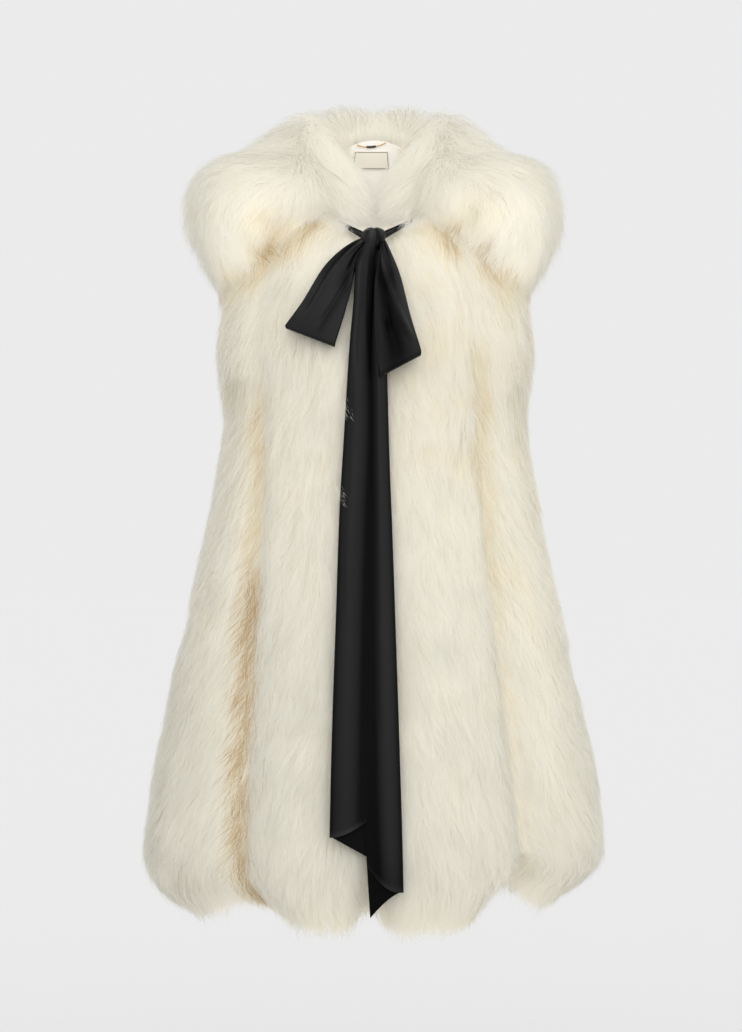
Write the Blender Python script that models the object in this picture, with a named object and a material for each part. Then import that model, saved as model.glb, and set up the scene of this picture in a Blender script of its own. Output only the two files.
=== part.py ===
"""Fur cape with a shawl collar and a long silk bow, standing open as it is worn.

Metres, +Z up. The front of the cape faces -Y and the wearer's left is +X.
The origin is the middle of the wearer's neck, level with the tops of the shoulders.

Every fur piece is a wall. Its inside is the lined skin and its outside is how far the fur reaches.
A place on the body of the cape is an angle from the centre front, a drop down the cloth from the
neck edge, and a share of the wall from skin to fur tips.
"""

import math
from collections import namedtuple

import bmesh
import bpy
import numpy as np

# Clearances
SEAM_GAP = 0.0004
SEAM_REST = 0.0012
REST_GAP = 0.0040
RIBBON_GAP = 0.0015
FRONT_OPENING = 0.008

# Body of the cape
RING_POWER = 2.3
LEAST_WALL = 0.012
INNER_FOLD_SHARE = 0.45
HEM_SKIN_RISE = 0.022
SIDE_SEAM_DEG = 118.0
NECK_DROPS = (0.000, 0.016, 0.036, 0.060, 0.088, 0.118, 0.150, 0.185)
BACK_COLUMNS = 19

# One row for each level ring of the fur's reach: drop is the length of cloth from the neck edge
Ring = namedtuple("Ring", "name drop z_front z_side z_back half_width front back wall")
RINGS = (
    Ring("neck edge", 0.000, -0.062, 0.012, 0.085, 0.082, 0.100, 0.098, 0.018),
    Ring("collar seat", 0.075, -0.096, -0.022, 0.013, 0.146, 0.130, 0.118, 0.022),
    Ring("shoulder", 0.140, -0.134, -0.075, -0.047, 0.190, 0.149, 0.142, 0.030),
    Ring("arm top", 0.215, -0.183, -0.146, -0.120, 0.214, 0.163, 0.161, 0.038),
    Ring("chest", 0.305, -0.250, -0.234, -0.212, 0.226, 0.173, 0.176, 0.040),
    Ring("waist", 0.405, -0.338, -0.332, -0.318, 0.218, 0.177, 0.180, 0.038),
    Ring("hip", 0.520, -0.447, -0.445, -0.438, 0.234, 0.187, 0.189, 0.038),
    Ring("thigh", 0.660, -0.586, -0.585, -0.582, 0.265, 0.203, 0.206, 0.040),
    Ring("knee", 0.800, -0.725, -0.725, -0.725, 0.296, 0.222, 0.226, 0.042),
    Ring("calf", 0.945, -0.870, -0.870, -0.870, 0.324, 0.242, 0.244, 0.044),
    Ring("hem bulge", 1.015, -0.940, -0.936, -0.938, 0.331, 0.249, 0.250, 0.046),
    Ring("hem curl", 1.055, -0.982, -0.974, -0.978, 0.321, 0.246, 0.244, 0.044),
    Ring("hem turn", 1.080, -1.010, -0.997, -1.003, 0.302, 0.234, 0.230, 0.036),
    Ring("hem tips", 1.100, -1.029, -1.014, -1.021, 0.272, 0.214, 0.212, 0.020),
)
HEM_DROP = RINGS[-1].drop

# One row for each valley between the rolls of fur: angles from the centre front, wearer's left positive,
# and how far the hem draws up in the valley
Fold = namedtuple("Fold", "name top_deg hem_deg top_depth hem_depth top_spread_deg hem_spread_deg hem_lift")
FOLDS = (
    Fold("front opening", 0.0, 0.0, 0.012, 0.034, 5.0, 4.5, 0.014),
    Fold("right groove", -47.5, -51.0, 0.014, 0.080, 5.0, 6.5, 0.010),
    Fold("left groove", 48.5, 50.0, 0.012, 0.070, 4.5, 5.0, 0.034),
    Fold("left hem rise", 80.0, 80.0, 0.000, 0.000, 30.0, 30.0, 0.012),
    Fold("right side fold", -106.0, -112.0, 0.000, 0.022, 9.0, 9.0, 0.006),
    Fold("left side fold", 108.0, 110.0, 0.000, 0.026, 9.0, 8.0, 0.006),
    Fold("right back fold", -146.0, -149.0, 0.000, 0.042, 8.0, 7.5, 0.012),
    Fold("left back fold", 141.0, 146.0, 0.000, 0.038, 8.0, 8.0, 0.010),
    Fold("centre back fold", 177.0, 178.0, 0.000, 0.030, 9.0, 9.0, 0.008),
)
FOLD_START_DROP = 0.20
HEM_START_DROP = 0.98

# Collar: it lies on the shoulders from a slanting front end round to the centre back
COLLAR_FRONT_TOP_DEG = 39.0
COLLAR_FRONT_LIP_DEG = 62.0
COLLAR_ROUND_END = 0.16
COLLAR_ROOT_ROUND = 0.20
COLLAR_FULLEST = 0.55
COLLAR_LIP_POWER = 1.5
COLLAR_STAND_SPREAD = 0.60
CollarRow = namedtuple("CollarRow", "name share lip_drop depth stand")
COLLAR_ROWS = (
    CollarRow("front end", 0.00, 0.182, 0.086, 0.0),
    CollarRow("front", 0.16, 0.208, 0.097, 0.0),
    CollarRow("side", 0.38, 0.214, 0.102, 0.0),
    CollarRow("side back", 0.65, 0.204, 0.095, 0.7),
    CollarRow("centre back", 1.00, 0.192, 0.090, 2.1),
)

# Neck facing, label and hanging chain, inside the back of the neck
FACING_COLUMNS = 15
FACING_TOP_DROP = 0.004
FACING_THICK = 0.0015
FACING_GAP = 0.0008
LABEL_WIDTH = 0.052
LABEL_HEIGHT = 0.026
LABEL_TOP_DROP = 0.020
LABEL_THICK = 0.0010
CHAIN_SPAN = 0.046
CHAIN_SAG = 0.008
CHAIN_TOP_DROP = 0.005
CHAIN_RADIUS = 0.0010
SLEEVE_SHARE = 0.34
SLEEVE_RADIUS = 0.0014

# Silk tie: its places are x and z over the front of the cape, and lift is how far they stand off the fur
SILK_THICK = 0.0012
KNOT_SIZE = (0.036, 0.024, 0.028)
KNOT_PLACE = (-0.001, -0.083)
KNOT_LIFT = 0.026

# One row for each short strap from the neck edge to the knot
Strap = namedtuple("Strap", "name x_out z_out width_out x_in z_in width_in")
STRAPS = (
    Strap("tie_strap_r", -0.048, -0.056, 0.005, -0.0174, -0.078, 0.012),
    Strap("tie_strap_l", 0.052, -0.053, 0.005, 0.0151, -0.077, 0.012),
)
STRAP_RIDGE = 0.0010

# One row for each bow loop: the ends of its top edge at the knot and of its bottom fold
Loop = namedtuple(
    "Loop", "name top_out top_in bottom_out bottom_in top_lift back_lift front_lift fold_radius"
)
LOOPS = (
    Loop("bow_loop_r", (-0.0182, -0.088), (-0.0196, -0.104), (-0.116, -0.203), (-0.053, -0.229),
         0.018, 0.004, 0.015, 0.006),
    Loop("bow_loop_l", (0.0170, -0.088), (0.0160, -0.104), (0.059, -0.240), (0.005, -0.271),
         0.020, 0.016, 0.030, 0.007),
)
LOOP_PLEAT = 0.0025
LOOP_TOP_OPEN = 0.45

# Each long tail is folded lengthwise with the fold on its outer side: rows down its length, then its ends
TailRow = namedtuple("TailRow", "share fold_x free_x")
Tail = namedtuple("Tail", "name z_top z_fold_end z_front_end z_back_end lift_top lift opening rows")
TAILS = (
    Tail(
        "tie_tail_r", -0.0970, -0.891, -0.870, -0.918, 0.008, 0.0025, 0.006,
        (TailRow(0.0, -0.014, -0.003), TailRow(0.06, -0.022, -0.007), TailRow(0.38, -0.030, -0.008),
         TailRow(0.70, -0.044, -0.0105), TailRow(1.0, -0.057, -0.0125)),
    ),
    Tail(
        "tie_tail_l", -0.0970, -0.9635, -0.923, -1.0005, 0.008, 0.0025, 0.006,
        (TailRow(0.0, 0.012, -0.001), TailRow(0.06, 0.013, -0.004), TailRow(0.38, 0.019, -0.0045),
         TailRow(0.70, 0.026, -0.007), TailRow(1.0, 0.035, -0.009)),
    ),
)

# Finishes: base colour, roughness, metallic
FUR = ("ivory long-haired fur", (0.86, 0.81, 0.68), 0.9, 0.0)
LINING = ("ivory satin", (0.84, 0.80, 0.70), 0.45, 0.0)
SILK = ("black silk", (0.012, 0.012, 0.013), 0.5, 0.0)
LABEL = ("woven cream label", (0.82, 0.78, 0.68), 0.8, 0.0)
GILT = ("gilt chain", (0.80, 0.58, 0.25), 0.3, 1.0)
BLACK_SLEEVE = ("black leather sleeve", (0.02, 0.02, 0.02), 0.6, 0.0)


def smooth_step(share):
    """0 below 0, 1 above 1, and a soft S between."""
    held = np.clip(share, 0.0, 1.0)
    return held * held * (3.0 - 2.0 * held)


def along(rows, key, column, at):
    """A column of a table read at any place along its key, on a curve with no overshoot between rows."""
    keys = np.array([getattr(row, key) for row in rows], float)
    values = np.array([getattr(row, column) for row in rows], float)
    steps = np.diff(keys)
    slopes = np.diff(values) / steps
    tangents = np.zeros(len(keys))
    tangents[0] = slopes[0]
    tangents[-1] = slopes[-1]
    both = slopes[:-1] * slopes[1:] > 0.0
    mean = 2.0 * slopes[:-1] * slopes[1:] / np.where(both, slopes[:-1] + slopes[1:], 1.0)
    tangents[1:-1] = np.where(both, mean, 0.0)
    at = np.asarray(at, float)
    index = np.clip(np.searchsorted(keys, at, side="right") - 1, 0, len(steps) - 1)
    step = steps[index]
    t = (at - keys[index]) / step
    return (
        values[index] * (1.0 + 2.0 * t) * (1.0 - t) ** 2
        + tangents[index] * step * t * (1.0 - t) ** 2
        + values[index + 1] * t * t * (3.0 - 2.0 * t)
        + tangents[index + 1] * step * t * t * (t - 1.0)
    )


def ring_value(column, drop):
    return along(RINGS, "drop", column, drop)


def ring_radius(angle, half_width, front, back):
    """Distance from the axis to a rounded ring that is wider than it is deep."""
    depth = np.where(np.cos(angle) > 0.0, front, back)
    across = (np.abs(np.sin(angle)) / half_width) ** RING_POWER
    deep = (np.abs(np.cos(angle)) / depth) ** RING_POWER
    return (across + deep) ** (-1.0 / RING_POWER)


def fold_fall(drop):
    """How far each valley has opened, 0 at the chest and 1 at the hem."""
    return smooth_step((drop - FOLD_START_DROP) / (HEM_DROP - FOLD_START_DROP)) ** 0.7


def hem_share(drop):
    """0 over most of the cape, rising to 1 at the hem."""
    return smooth_step((drop - HEM_START_DROP) / (HEM_DROP - HEM_START_DROP))


def fold_valleys(angle, drop):
    """How far the valleys between the rolls of fur cut in, and how far they draw the hem up."""
    fall = fold_fall(drop)
    start = smooth_step(drop / FOLD_START_DROP)
    depth = 0.0
    lift = 0.0
    for fold in FOLDS:
        centre = np.radians(fold.top_deg + (fold.hem_deg - fold.top_deg) * fall)
        spread = np.radians(fold.top_spread_deg + (fold.hem_spread_deg - fold.top_spread_deg) * fall)
        away = (angle - centre + math.pi) % (2.0 * math.pi) - math.pi
        shape = 1.0 / (1.0 + (away / spread) ** 2)
        depth = depth + shape * start * (fold.top_depth + (fold.hem_depth - fold.top_depth) * fall)
        lift = lift + shape * fold.hem_lift * hem_share(drop)
    return depth, lift


def body_point(angle, drop, height, folds=1.0):
    """A place in the wall of the body: height is 0 on the skin and 1 at the fur tips."""
    angle, drop, height = np.broadcast_arrays(np.asarray(angle, float), drop, height)
    wall = ring_value("wall", drop)
    half_width, front, back = (ring_value(name, drop) for name in ("half_width", "front", "back"))
    valley, lift = (folds * value for value in fold_valleys(angle, drop))
    outer = ring_radius(angle, half_width, front, back) - valley
    inner = ring_radius(angle, half_width - wall, front - wall, back - wall) - INNER_FOLD_SHARE * valley
    inner = np.minimum(inner, outer - LEAST_WALL)
    radius = inner + height * (outer - inner)
    facing = np.cos(angle)
    z_side = ring_value("z_side", drop)
    z_end = np.where(facing > 0.0, ring_value("z_front", drop), ring_value("z_back", drop))
    z = z_side + (z_end - z_side) * np.abs(facing) ** 1.5
    z = z + lift + HEM_SKIN_RISE * (1.0 - height) * hem_share(drop)
    return np.stack([radius * np.sin(angle), -radius * facing, z], axis=-1)


def unit(vectors):
    return vectors / np.linalg.norm(vectors, axis=-1, keepdims=True)


def body_normal(angle, drop, height, folds=1.0):
    """The outward direction square to the body's surface."""
    turn = 0.01
    fall = 0.004
    across = body_point(angle + turn, drop, height, folds) - body_point(angle - turn, drop, height, folds)
    down = body_point(angle, drop + fall, height, folds) - body_point(angle, drop - fall, height, folds)
    return unit(np.cross(down, across))


def front_place(x, z):
    """The angle and drop at which the smooth front of the body stands at x and z."""
    x, z = np.broadcast_arrays(np.asarray(x, float), z)
    angle = np.zeros(x.shape)
    drop = np.clip(0.076 - z, 0.0, HEM_DROP)
    for _ in range(40):
        point = body_point(angle, drop, 1.0, 0.0)
        radius = np.linalg.norm(point[..., :2], axis=-1)
        angle = np.arcsin(np.clip(x / radius, -0.99, 0.99))
        drop = np.clip(drop + 0.9 * (point[..., 2] - z), 0.0, HEM_DROP)
    return angle, drop


def front_point(x, z, lift):
    """A place over the front of the cape, lift straight out from its smooth outer form."""
    angle, drop = front_place(x, z)
    out = body_normal(angle, drop, 1.0, 0.0) * np.array((1.0, 1.0, 0.0))
    return body_point(angle, drop, 1.0, 0.0) + np.asarray(lift)[..., None] * unit(out)


def finish(obj, look):
    """Gives an object its material, one Principled BSDF."""
    name, colour, roughness, metallic = look
    material = bpy.data.materials.get(name)
    if material is None:
        material = bpy.data.materials.new(name)
        material.use_nodes = True
        shader = material.node_tree.nodes["Principled BSDF"]
        shader.inputs["Base Color"].default_value = (*colour, 1.0)
        shader.inputs["Roughness"].default_value = roughness
        shader.inputs["Metallic"].default_value = metallic
    obj.data.materials.append(material)
    return obj


def mesh_object(name, points, faces, look):
    """A mesh from points and faces, with its faces turned outwards and shaded smooth."""
    mesh = bpy.data.meshes.new(name)
    mesh.from_pydata([tuple(point) for point in points], [], faces)
    work = bmesh.new()
    work.from_mesh(mesh)
    bmesh.ops.recalc_face_normals(work, faces=work.faces)
    work.to_mesh(mesh)
    work.free()
    mesh.shade_smooth()
    mesh.set_sharp_from_angle(angle=math.radians(50.0))
    obj = bpy.data.objects.new(name, mesh)
    bpy.context.scene.collection.objects.link(obj)
    return finish(obj, look)


def grid_faces(rows, columns, start=0):
    """Four-sided faces between neighbouring points of a grid that is stored row by row."""
    return [
        (start + r * columns + c, start + r * columns + c + 1,
         start + (r + 1) * columns + c + 1, start + (r + 1) * columns + c)
        for r in range(rows - 1)
        for c in range(columns - 1)
    ]


def wall_object(name, outer, inner, look):
    """A closed wall between two grids of the same size, joined round all four edges."""
    rows, columns = outer.shape[:2]
    count = rows * columns
    edge = [c for c in range(columns)]
    edge += [r * columns + columns - 1 for r in range(1, rows)]
    edge += [(rows - 1) * columns + c for c in range(columns - 2, -1, -1)]
    edge += [r * columns for r in range(rows - 2, 0, -1)]
    rim = [(a, b, count + b, count + a) for a, b in zip(edge, edge[1:] + edge[:1])]
    faces = grid_faces(rows, columns) + grid_faces(rows, columns, count) + rim
    return mesh_object(name, np.concatenate([outer.reshape(-1, 3), inner.reshape(-1, 3)]), faces, look)


def sheet_normals(sheet):
    """The direction square to a grid of points at each of its points."""
    return unit(np.cross(np.gradient(sheet, axis=0), np.gradient(sheet, axis=1)))


def sheet_object(name, sheet, thickness, look):
    """A closed wall of even thickness round a grid of points that is its middle."""
    offset = 0.5 * thickness * sheet_normals(sheet)
    return wall_object(name, sheet + offset, sheet - offset, look)


def panel_object(name, from_angle, to_angle, columns, drops):
    """One body panel: both its edges keep half a seam or half the front opening clear."""
    share = np.linspace(0.0, 1.0, columns)[None, :]
    drop = np.asarray(drops)[:, None]
    angle = from_angle(drop) * (1.0 - share) + to_angle(drop) * share
    return wall_object(name, body_point(angle, drop, 1.0), body_point(angle, drop, 0.0), FUR)


def fold_angle(fold_name, side):
    """The angle of a named valley at each drop, less or more by half a seam."""
    fold = next(row for row in FOLDS if row.name == fold_name)

    def angle(drop):
        centre = np.radians(fold.top_deg + (fold.hem_deg - fold.top_deg) * fold_fall(drop))
        return centre + side * seam_turn(centre, drop)

    return angle


def seam_turn(angle, drop):
    """The angle that half a seam's gap takes up at the skin, where the panel edges are nearest."""
    radius = np.linalg.norm(body_point(angle, drop, 0.0)[..., :2], axis=-1)
    return 0.5 * SEAM_GAP / radius


def side_seam_angle(sign, side):
    def angle(drop):
        centre = np.full(np.shape(drop), sign * math.radians(SIDE_SEAM_DEG))
        return centre + side * seam_turn(centre, drop)

    return angle


def opening_angle(sign):
    """The front edge of a front panel, half the front opening from the middle."""

    def angle(drop):
        radius = np.linalg.norm(body_point(0.0, drop, 0.0)[..., :2], axis=-1)
        return sign * np.arcsin(0.5 * FRONT_OPENING / radius)

    return angle


def build_body():
    """Two fronts, two sides and one back, cut where the deep grooves and the side seams run."""
    hem = [0.985, 1.020, 1.050, 1.073, 1.089, HEM_DROP]
    drops = np.concatenate([NECK_DROPS, np.linspace(0.225, 0.945, 12), hem])
    panel_object("front_r", fold_angle("right groove", 1.0), opening_angle(-1.0), 10, drops)
    panel_object("front_l", opening_angle(1.0), fold_angle("left groove", -1.0), 10, drops)
    panel_object("side_r", side_seam_angle(-1.0, 1.0), fold_angle("right groove", -1.0), 15, drops)
    panel_object("side_l", fold_angle("left groove", 1.0), side_seam_angle(1.0, -1.0), 15, drops)

    def around_back(drop):
        return 2.0 * math.pi + side_seam_angle(-1.0, -1.0)(drop)

    panel_object("back", side_seam_angle(1.0, 1.0), around_back, BACK_COLUMNS, drops)


def collar_place(round_share, spread_share, sign):
    """Angle and drop of a place under the collar: round from its front end to the centre back, and
    spread from the neck edge to the lip."""
    lip = along(COLLAR_ROWS, "share", "lip_drop", round_share)
    front = COLLAR_FRONT_TOP_DEG + (COLLAR_FRONT_LIP_DEG - COLLAR_FRONT_TOP_DEG) * spread_share
    radius = np.linalg.norm(body_point(math.pi, lip * spread_share, 1.0)[..., :2], axis=-1)
    back = 180.0 - np.degrees(0.5 * SEAM_GAP / radius)
    angle = np.radians(front + (back - front) * round_share)
    return sign * angle, lip * spread_share


def collar_depth(round_share, spread_share):
    """Depth of the collar's fur: full in the middle, rounded off at the neck, the lip and the front end."""
    depth = along(COLLAR_ROWS, "share", "depth", round_share)

    def rounded(share, length):
        return np.sqrt(np.clip(1.0 - (1.0 - np.clip(share / length, 0.0, 1.0)) ** 2, 0.0, 1.0))

    past = np.clip((spread_share - COLLAR_FULLEST) / (1.0 - COLLAR_FULLEST), 0.0, 1.0)
    edge = rounded(spread_share, COLLAR_ROOT_ROUND) * (1.0 - past ** COLLAR_LIP_POWER) ** 0.8
    return LEAST_WALL * 0.5 + (depth - LEAST_WALL * 0.5) * edge * rounded(round_share, COLLAR_ROUND_END)


def collar_object(name, sign):
    """One half of the collar, from its front end to the centre back seam."""
    round_share = np.concatenate([[0.0, 0.015, 0.05, 0.10, 0.17], np.linspace(0.26, 1.0, 12)])[None, :]
    near_neck = [0.0, 0.02, 0.06, 0.12, 0.20, 0.32, 0.44]
    near_lip = [0.56, 0.68, 0.78, 0.87, 0.94, 0.98, 1.0]
    spread_share = np.concatenate([near_neck, near_lip])[:, None]
    angle, drop = collar_place(round_share, spread_share, sign)
    normal = body_normal(angle, drop, 1.0)
    gap = SEAM_REST + (REST_GAP - SEAM_REST) * smooth_step(spread_share / COLLAR_STAND_SPREAD)
    under = body_point(angle, drop, 1.0) + gap[..., None] * normal
    stand = along(COLLAR_ROWS, "share", "stand", round_share)
    stand = stand * (1.0 - smooth_step(spread_share / COLLAR_STAND_SPREAD))
    rise = unit(normal + stand[..., None] * np.array((0.0, 0.0, 1.0)))
    over = under + collar_depth(round_share, spread_share)[..., None] * rise
    return wall_object(name, over, under, FUR)


def inner_point(angle, drop, lift):
    """A place inside the cape, lift in from the lined skin."""
    return body_point(angle, drop, 0.0) - np.asarray(lift)[..., None] * body_normal(angle, drop, 0.0)


def build_neck():
    """The facing inside the back of the neck, with the label and the hanging chain sewn to it."""
    column = np.arange(FACING_COLUMNS) - 0.5 * (FACING_COLUMNS - 1)
    step = np.radians(360.0 - 2.0 * SIDE_SEAM_DEG) / (BACK_COLUMNS - 1)
    angle = math.pi + step * column[None, :]
    drop = np.array((FACING_TOP_DROP, *NECK_DROPS[1:-1]))[:, None]
    facing = inner_point(angle, drop, FACING_GAP + 0.5 * FACING_THICK)
    sheet_object("neck_facing", facing, FACING_THICK, LINING)

    radius = np.linalg.norm(body_point(math.pi, LABEL_TOP_DROP, 0.0)[..., :2])
    half_label = 0.5 * LABEL_WIDTH / radius
    angle = math.pi + np.linspace(-half_label, half_label, 7)[None, :]
    drop = np.linspace(LABEL_TOP_DROP, LABEL_TOP_DROP + LABEL_HEIGHT, 4)[:, None]
    label_lift = FACING_GAP + FACING_THICK + FACING_GAP + 0.5 * LABEL_THICK
    sheet_object("label", inner_point(angle, drop, label_lift), LABEL_THICK, LABEL)

    half_chain = 0.5 * CHAIN_SPAN / radius
    middle = 0.5 * SLEEVE_SHARE
    gap = 1.5 * SEAM_GAP / CHAIN_SPAN
    lift = FACING_GAP + FACING_THICK + SEAM_GAP + SLEEVE_RADIUS
    stretches = (
        ("hanger_chain_l", -0.5, -middle - gap, CHAIN_RADIUS, GILT),
        ("hanger_sleeve", -middle, middle, SLEEVE_RADIUS, BLACK_SLEEVE),
        ("hanger_chain_r", middle + gap, 0.5, CHAIN_RADIUS, GILT),
    )
    for name, start, end, tube_radius, look in stretches:
        share = np.linspace(start, end, 7)
        angle = math.pi + 2.0 * half_chain * share
        drop = CHAIN_TOP_DROP + CHAIN_SAG * (1.0 - (2.0 * share) ** 2)
        tube_object(name, inner_point(angle, drop, np.full(7, lift)), tube_radius, look)


def tube_object(name, points, radius, look):
    """A round rod along points, with closed ends."""
    curve = bpy.data.curves.new(name, "CURVE")
    curve.dimensions = "3D"
    curve.bevel_depth = radius
    curve.bevel_resolution = 1
    curve.use_fill_caps = True
    spline = curve.splines.new("POLY")
    spline.points.add(len(points) - 1)
    for spot, point in zip(spline.points, points):
        spot.co = (*point, 1.0)
    obj = bpy.data.objects.new(name, curve)
    bpy.context.scene.collection.objects.link(obj)
    return finish(obj, look)


def build_knot():
    """The knot: a soft lump, pinched at its waist where the silk is drawn tight."""
    wide, deep, high = KNOT_SIZE
    centre = front_point(*KNOT_PLACE, KNOT_LIFT)
    down = np.linspace(0.0, math.pi, 11)[1:-1, None]
    turn = np.linspace(0.0, 2.0 * math.pi, 17)[None, :-1]
    pinch = 1.0 - 0.14 * np.exp(-((down - 0.5 * math.pi) / 0.35) ** 2) * np.cos(turn) ** 2
    x = 0.5 * wide * np.sin(down) ** 0.7 * np.cos(turn) * pinch
    y = 0.5 * deep * np.sin(down) ** 0.7 * np.sin(turn)
    z = 0.5 * high * np.cos(down) * np.ones_like(turn)
    rings = np.stack([x, y, z], axis=-1) + centre
    rows, columns = rings.shape[:2]
    faces = [
        (r * columns + c, r * columns + (c + 1) % columns,
         (r + 1) * columns + (c + 1) % columns, (r + 1) * columns + c)
        for r in range(rows - 1)
        for c in range(columns)
    ]
    faces.append(tuple(range(columns)))
    faces.append(tuple((rows - 1) * columns + c for c in range(columns)))
    mesh_object("bow_knot", rings.reshape(-1, 3), faces, SILK)


def build_straps():
    """The two short gathered straps between the neck edge and the knot."""
    share = np.linspace(0.0, 1.0, 9)[:, None]
    across = np.linspace(-0.5, 0.5, 5)[None, :]
    for strap in STRAPS:
        x = strap.x_out + (strap.x_in - strap.x_out) * share
        width = strap.width_out + (strap.width_in - strap.width_out) * share
        z = strap.z_out + (strap.z_in - strap.z_out) * share - width * across
        ridge = STRAP_RIDGE * (1.0 + np.cos(2.0 * math.pi * across))
        lift = RIBBON_GAP + 0.5 * SILK_THICK + ridge + (KNOT_LIFT - 0.008) * share ** 1.5
        sheet_object(strap.name, front_point(x, z, lift), SILK_THICK, SILK)


def build_loops():
    """The two bow loops: a wide ribbon runs down from the knot, turns up at its fold and runs back behind."""
    layer = np.linspace(0.0, 1.0, 9)
    turn = np.linspace(0.0, math.pi, 7)[1:-1]
    across = np.linspace(0.0, 1.0, 9)[None, :]
    down = np.concatenate([layer, np.ones(5), layer[::-1]])[:, None]
    past = np.concatenate([np.zeros(9), np.sin(turn), np.zeros(9)])[:, None]
    side = np.concatenate([np.ones(9), np.cos(turn), -np.ones(9)])[:, None]
    for loop in LOOPS:
        x, z = (
            (loop.top_out[i] * (1.0 - across) + loop.top_in[i] * across) * (1.0 - down)
            + (loop.bottom_out[i] * (1.0 - across) + loop.bottom_in[i] * across) * down
            for i in (0, 1)
        )
        half = 0.5 * (loop.front_lift - loop.back_lift)
        middle = loop.top_lift + (loop.back_lift + half - loop.top_lift) * smooth_step(1.6 * down)
        spread = half * (LOOP_TOP_OPEN + (1.0 - LOOP_TOP_OPEN) * smooth_step(1.2 * down))
        pleat = LOOP_PLEAT * (1.0 - 0.6 * down) * np.cos(3.0 * math.pi * across) * np.abs(side)
        lift = RIBBON_GAP + middle + side * spread + pleat
        sheet_object(loop.name, front_point(x, z - loop.fold_radius * past, lift), SILK_THICK, SILK)


def build_tails():
    """The two long tails: each is folded lengthwise along its outer side and cut to a slant at its end."""
    down = np.linspace(0.0, 1.0, 20)[:, None]
    layer = np.linspace(0.0, 1.0, 5)
    turn = np.linspace(0.0, math.pi, 5)[1:-1]
    free = np.concatenate([1.0 - layer, np.zeros(3), layer])[None, :]
    past = np.concatenate([np.zeros(5), np.sin(turn), np.zeros(5)])[None, :]
    side = np.concatenate([np.ones(5), np.cos(turn), -np.ones(5)])[None, :]
    for tail in TAILS:
        free_end = np.where(side > 0.0, tail.z_front_end, tail.z_back_end)
        z_end = tail.z_fold_end + (free_end - tail.z_fold_end) * free
        z = tail.z_top + (z_end - tail.z_top) * down
        fold_x = along(tail.rows, "share", "fold_x", down)
        free_x = along(tail.rows, "share", "free_x", down)
        radius = 0.5 * tail.opening
        x = fold_x + (free_x - fold_x) * free + np.sign(tail.rows[-1].fold_x) * radius * past
        stand = tail.lift + (tail.lift_top - tail.lift) * (1.0 - smooth_step(down / 0.12))
        lift = RIBBON_GAP + stand + radius * (1.0 + side)
        sheet_object(tail.name, front_point(x, z, lift), SILK_THICK, SILK)


def main():
    for obj in list(bpy.data.objects):
        bpy.data.objects.remove(obj)
    build_body()
    collar_object("collar_r", -1.0)
    collar_object("collar_l", 1.0)
    build_neck()
    build_knot()
    build_straps()
    build_loops()
    build_tails()


main()
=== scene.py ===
"""Dresses the fur cape: lined pelts under long tufted fur, a satin neck facing with a bare label and a
gilt hanging chain, and a long black silk bow.

Metres, +Z up. The front of the cape faces -Y and the wearer's left is +X. A place on the body of the cape
is an angle from the centre front, a drop down the cloth from the neck edge, and a height, 0 on the skin
and 1 at the fur tips. A place on the collar is a round share from its front end to the centre back, a
spread share from the neck edge to the lip, and a height.
"""

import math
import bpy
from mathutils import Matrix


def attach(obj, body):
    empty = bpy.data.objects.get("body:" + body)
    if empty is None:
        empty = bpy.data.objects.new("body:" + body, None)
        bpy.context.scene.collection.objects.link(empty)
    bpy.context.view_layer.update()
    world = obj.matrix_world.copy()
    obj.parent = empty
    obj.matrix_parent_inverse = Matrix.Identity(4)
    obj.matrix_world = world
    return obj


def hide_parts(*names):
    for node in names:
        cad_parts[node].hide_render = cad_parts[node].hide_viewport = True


bl_info = {
    "name": "Fur cape",
    "version": (1, 0, 0),
    "blender": (4, 5, 0),
    "location": "3D View > Sidebar > Fur cape",
    "description": "Builds a long fur cape with a shawl collar and a silk bow",
    "category": "Object",
}

from collections import namedtuple

import bpy
import numpy as np
from bpy.props import FloatProperty, FloatVectorProperty, IntProperty, PointerProperty
from bpy.types import Operator, Panel, PropertyGroup

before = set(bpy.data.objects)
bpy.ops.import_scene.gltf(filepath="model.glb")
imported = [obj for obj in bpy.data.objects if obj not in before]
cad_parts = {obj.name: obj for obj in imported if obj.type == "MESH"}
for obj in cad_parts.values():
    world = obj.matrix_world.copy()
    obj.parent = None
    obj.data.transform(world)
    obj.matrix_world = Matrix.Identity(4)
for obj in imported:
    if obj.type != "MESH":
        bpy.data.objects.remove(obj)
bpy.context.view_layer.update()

# Clearances
SEAM_GAP = 0.0004
SEAM_REST = 0.0012
REST_GAP = 0.0040
RIBBON_GAP = 0.0015
FRONT_OPENING = 0.008

# Body of the cape
RING_POWER = 2.3
LEAST_WALL = 0.012
INNER_FOLD_SHARE = 0.45
FUR_FOLD_SHARE = 0.52
HEM_SKIN_RISE = 0.022
SIDE_SEAM_DEG = 118.0

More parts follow.
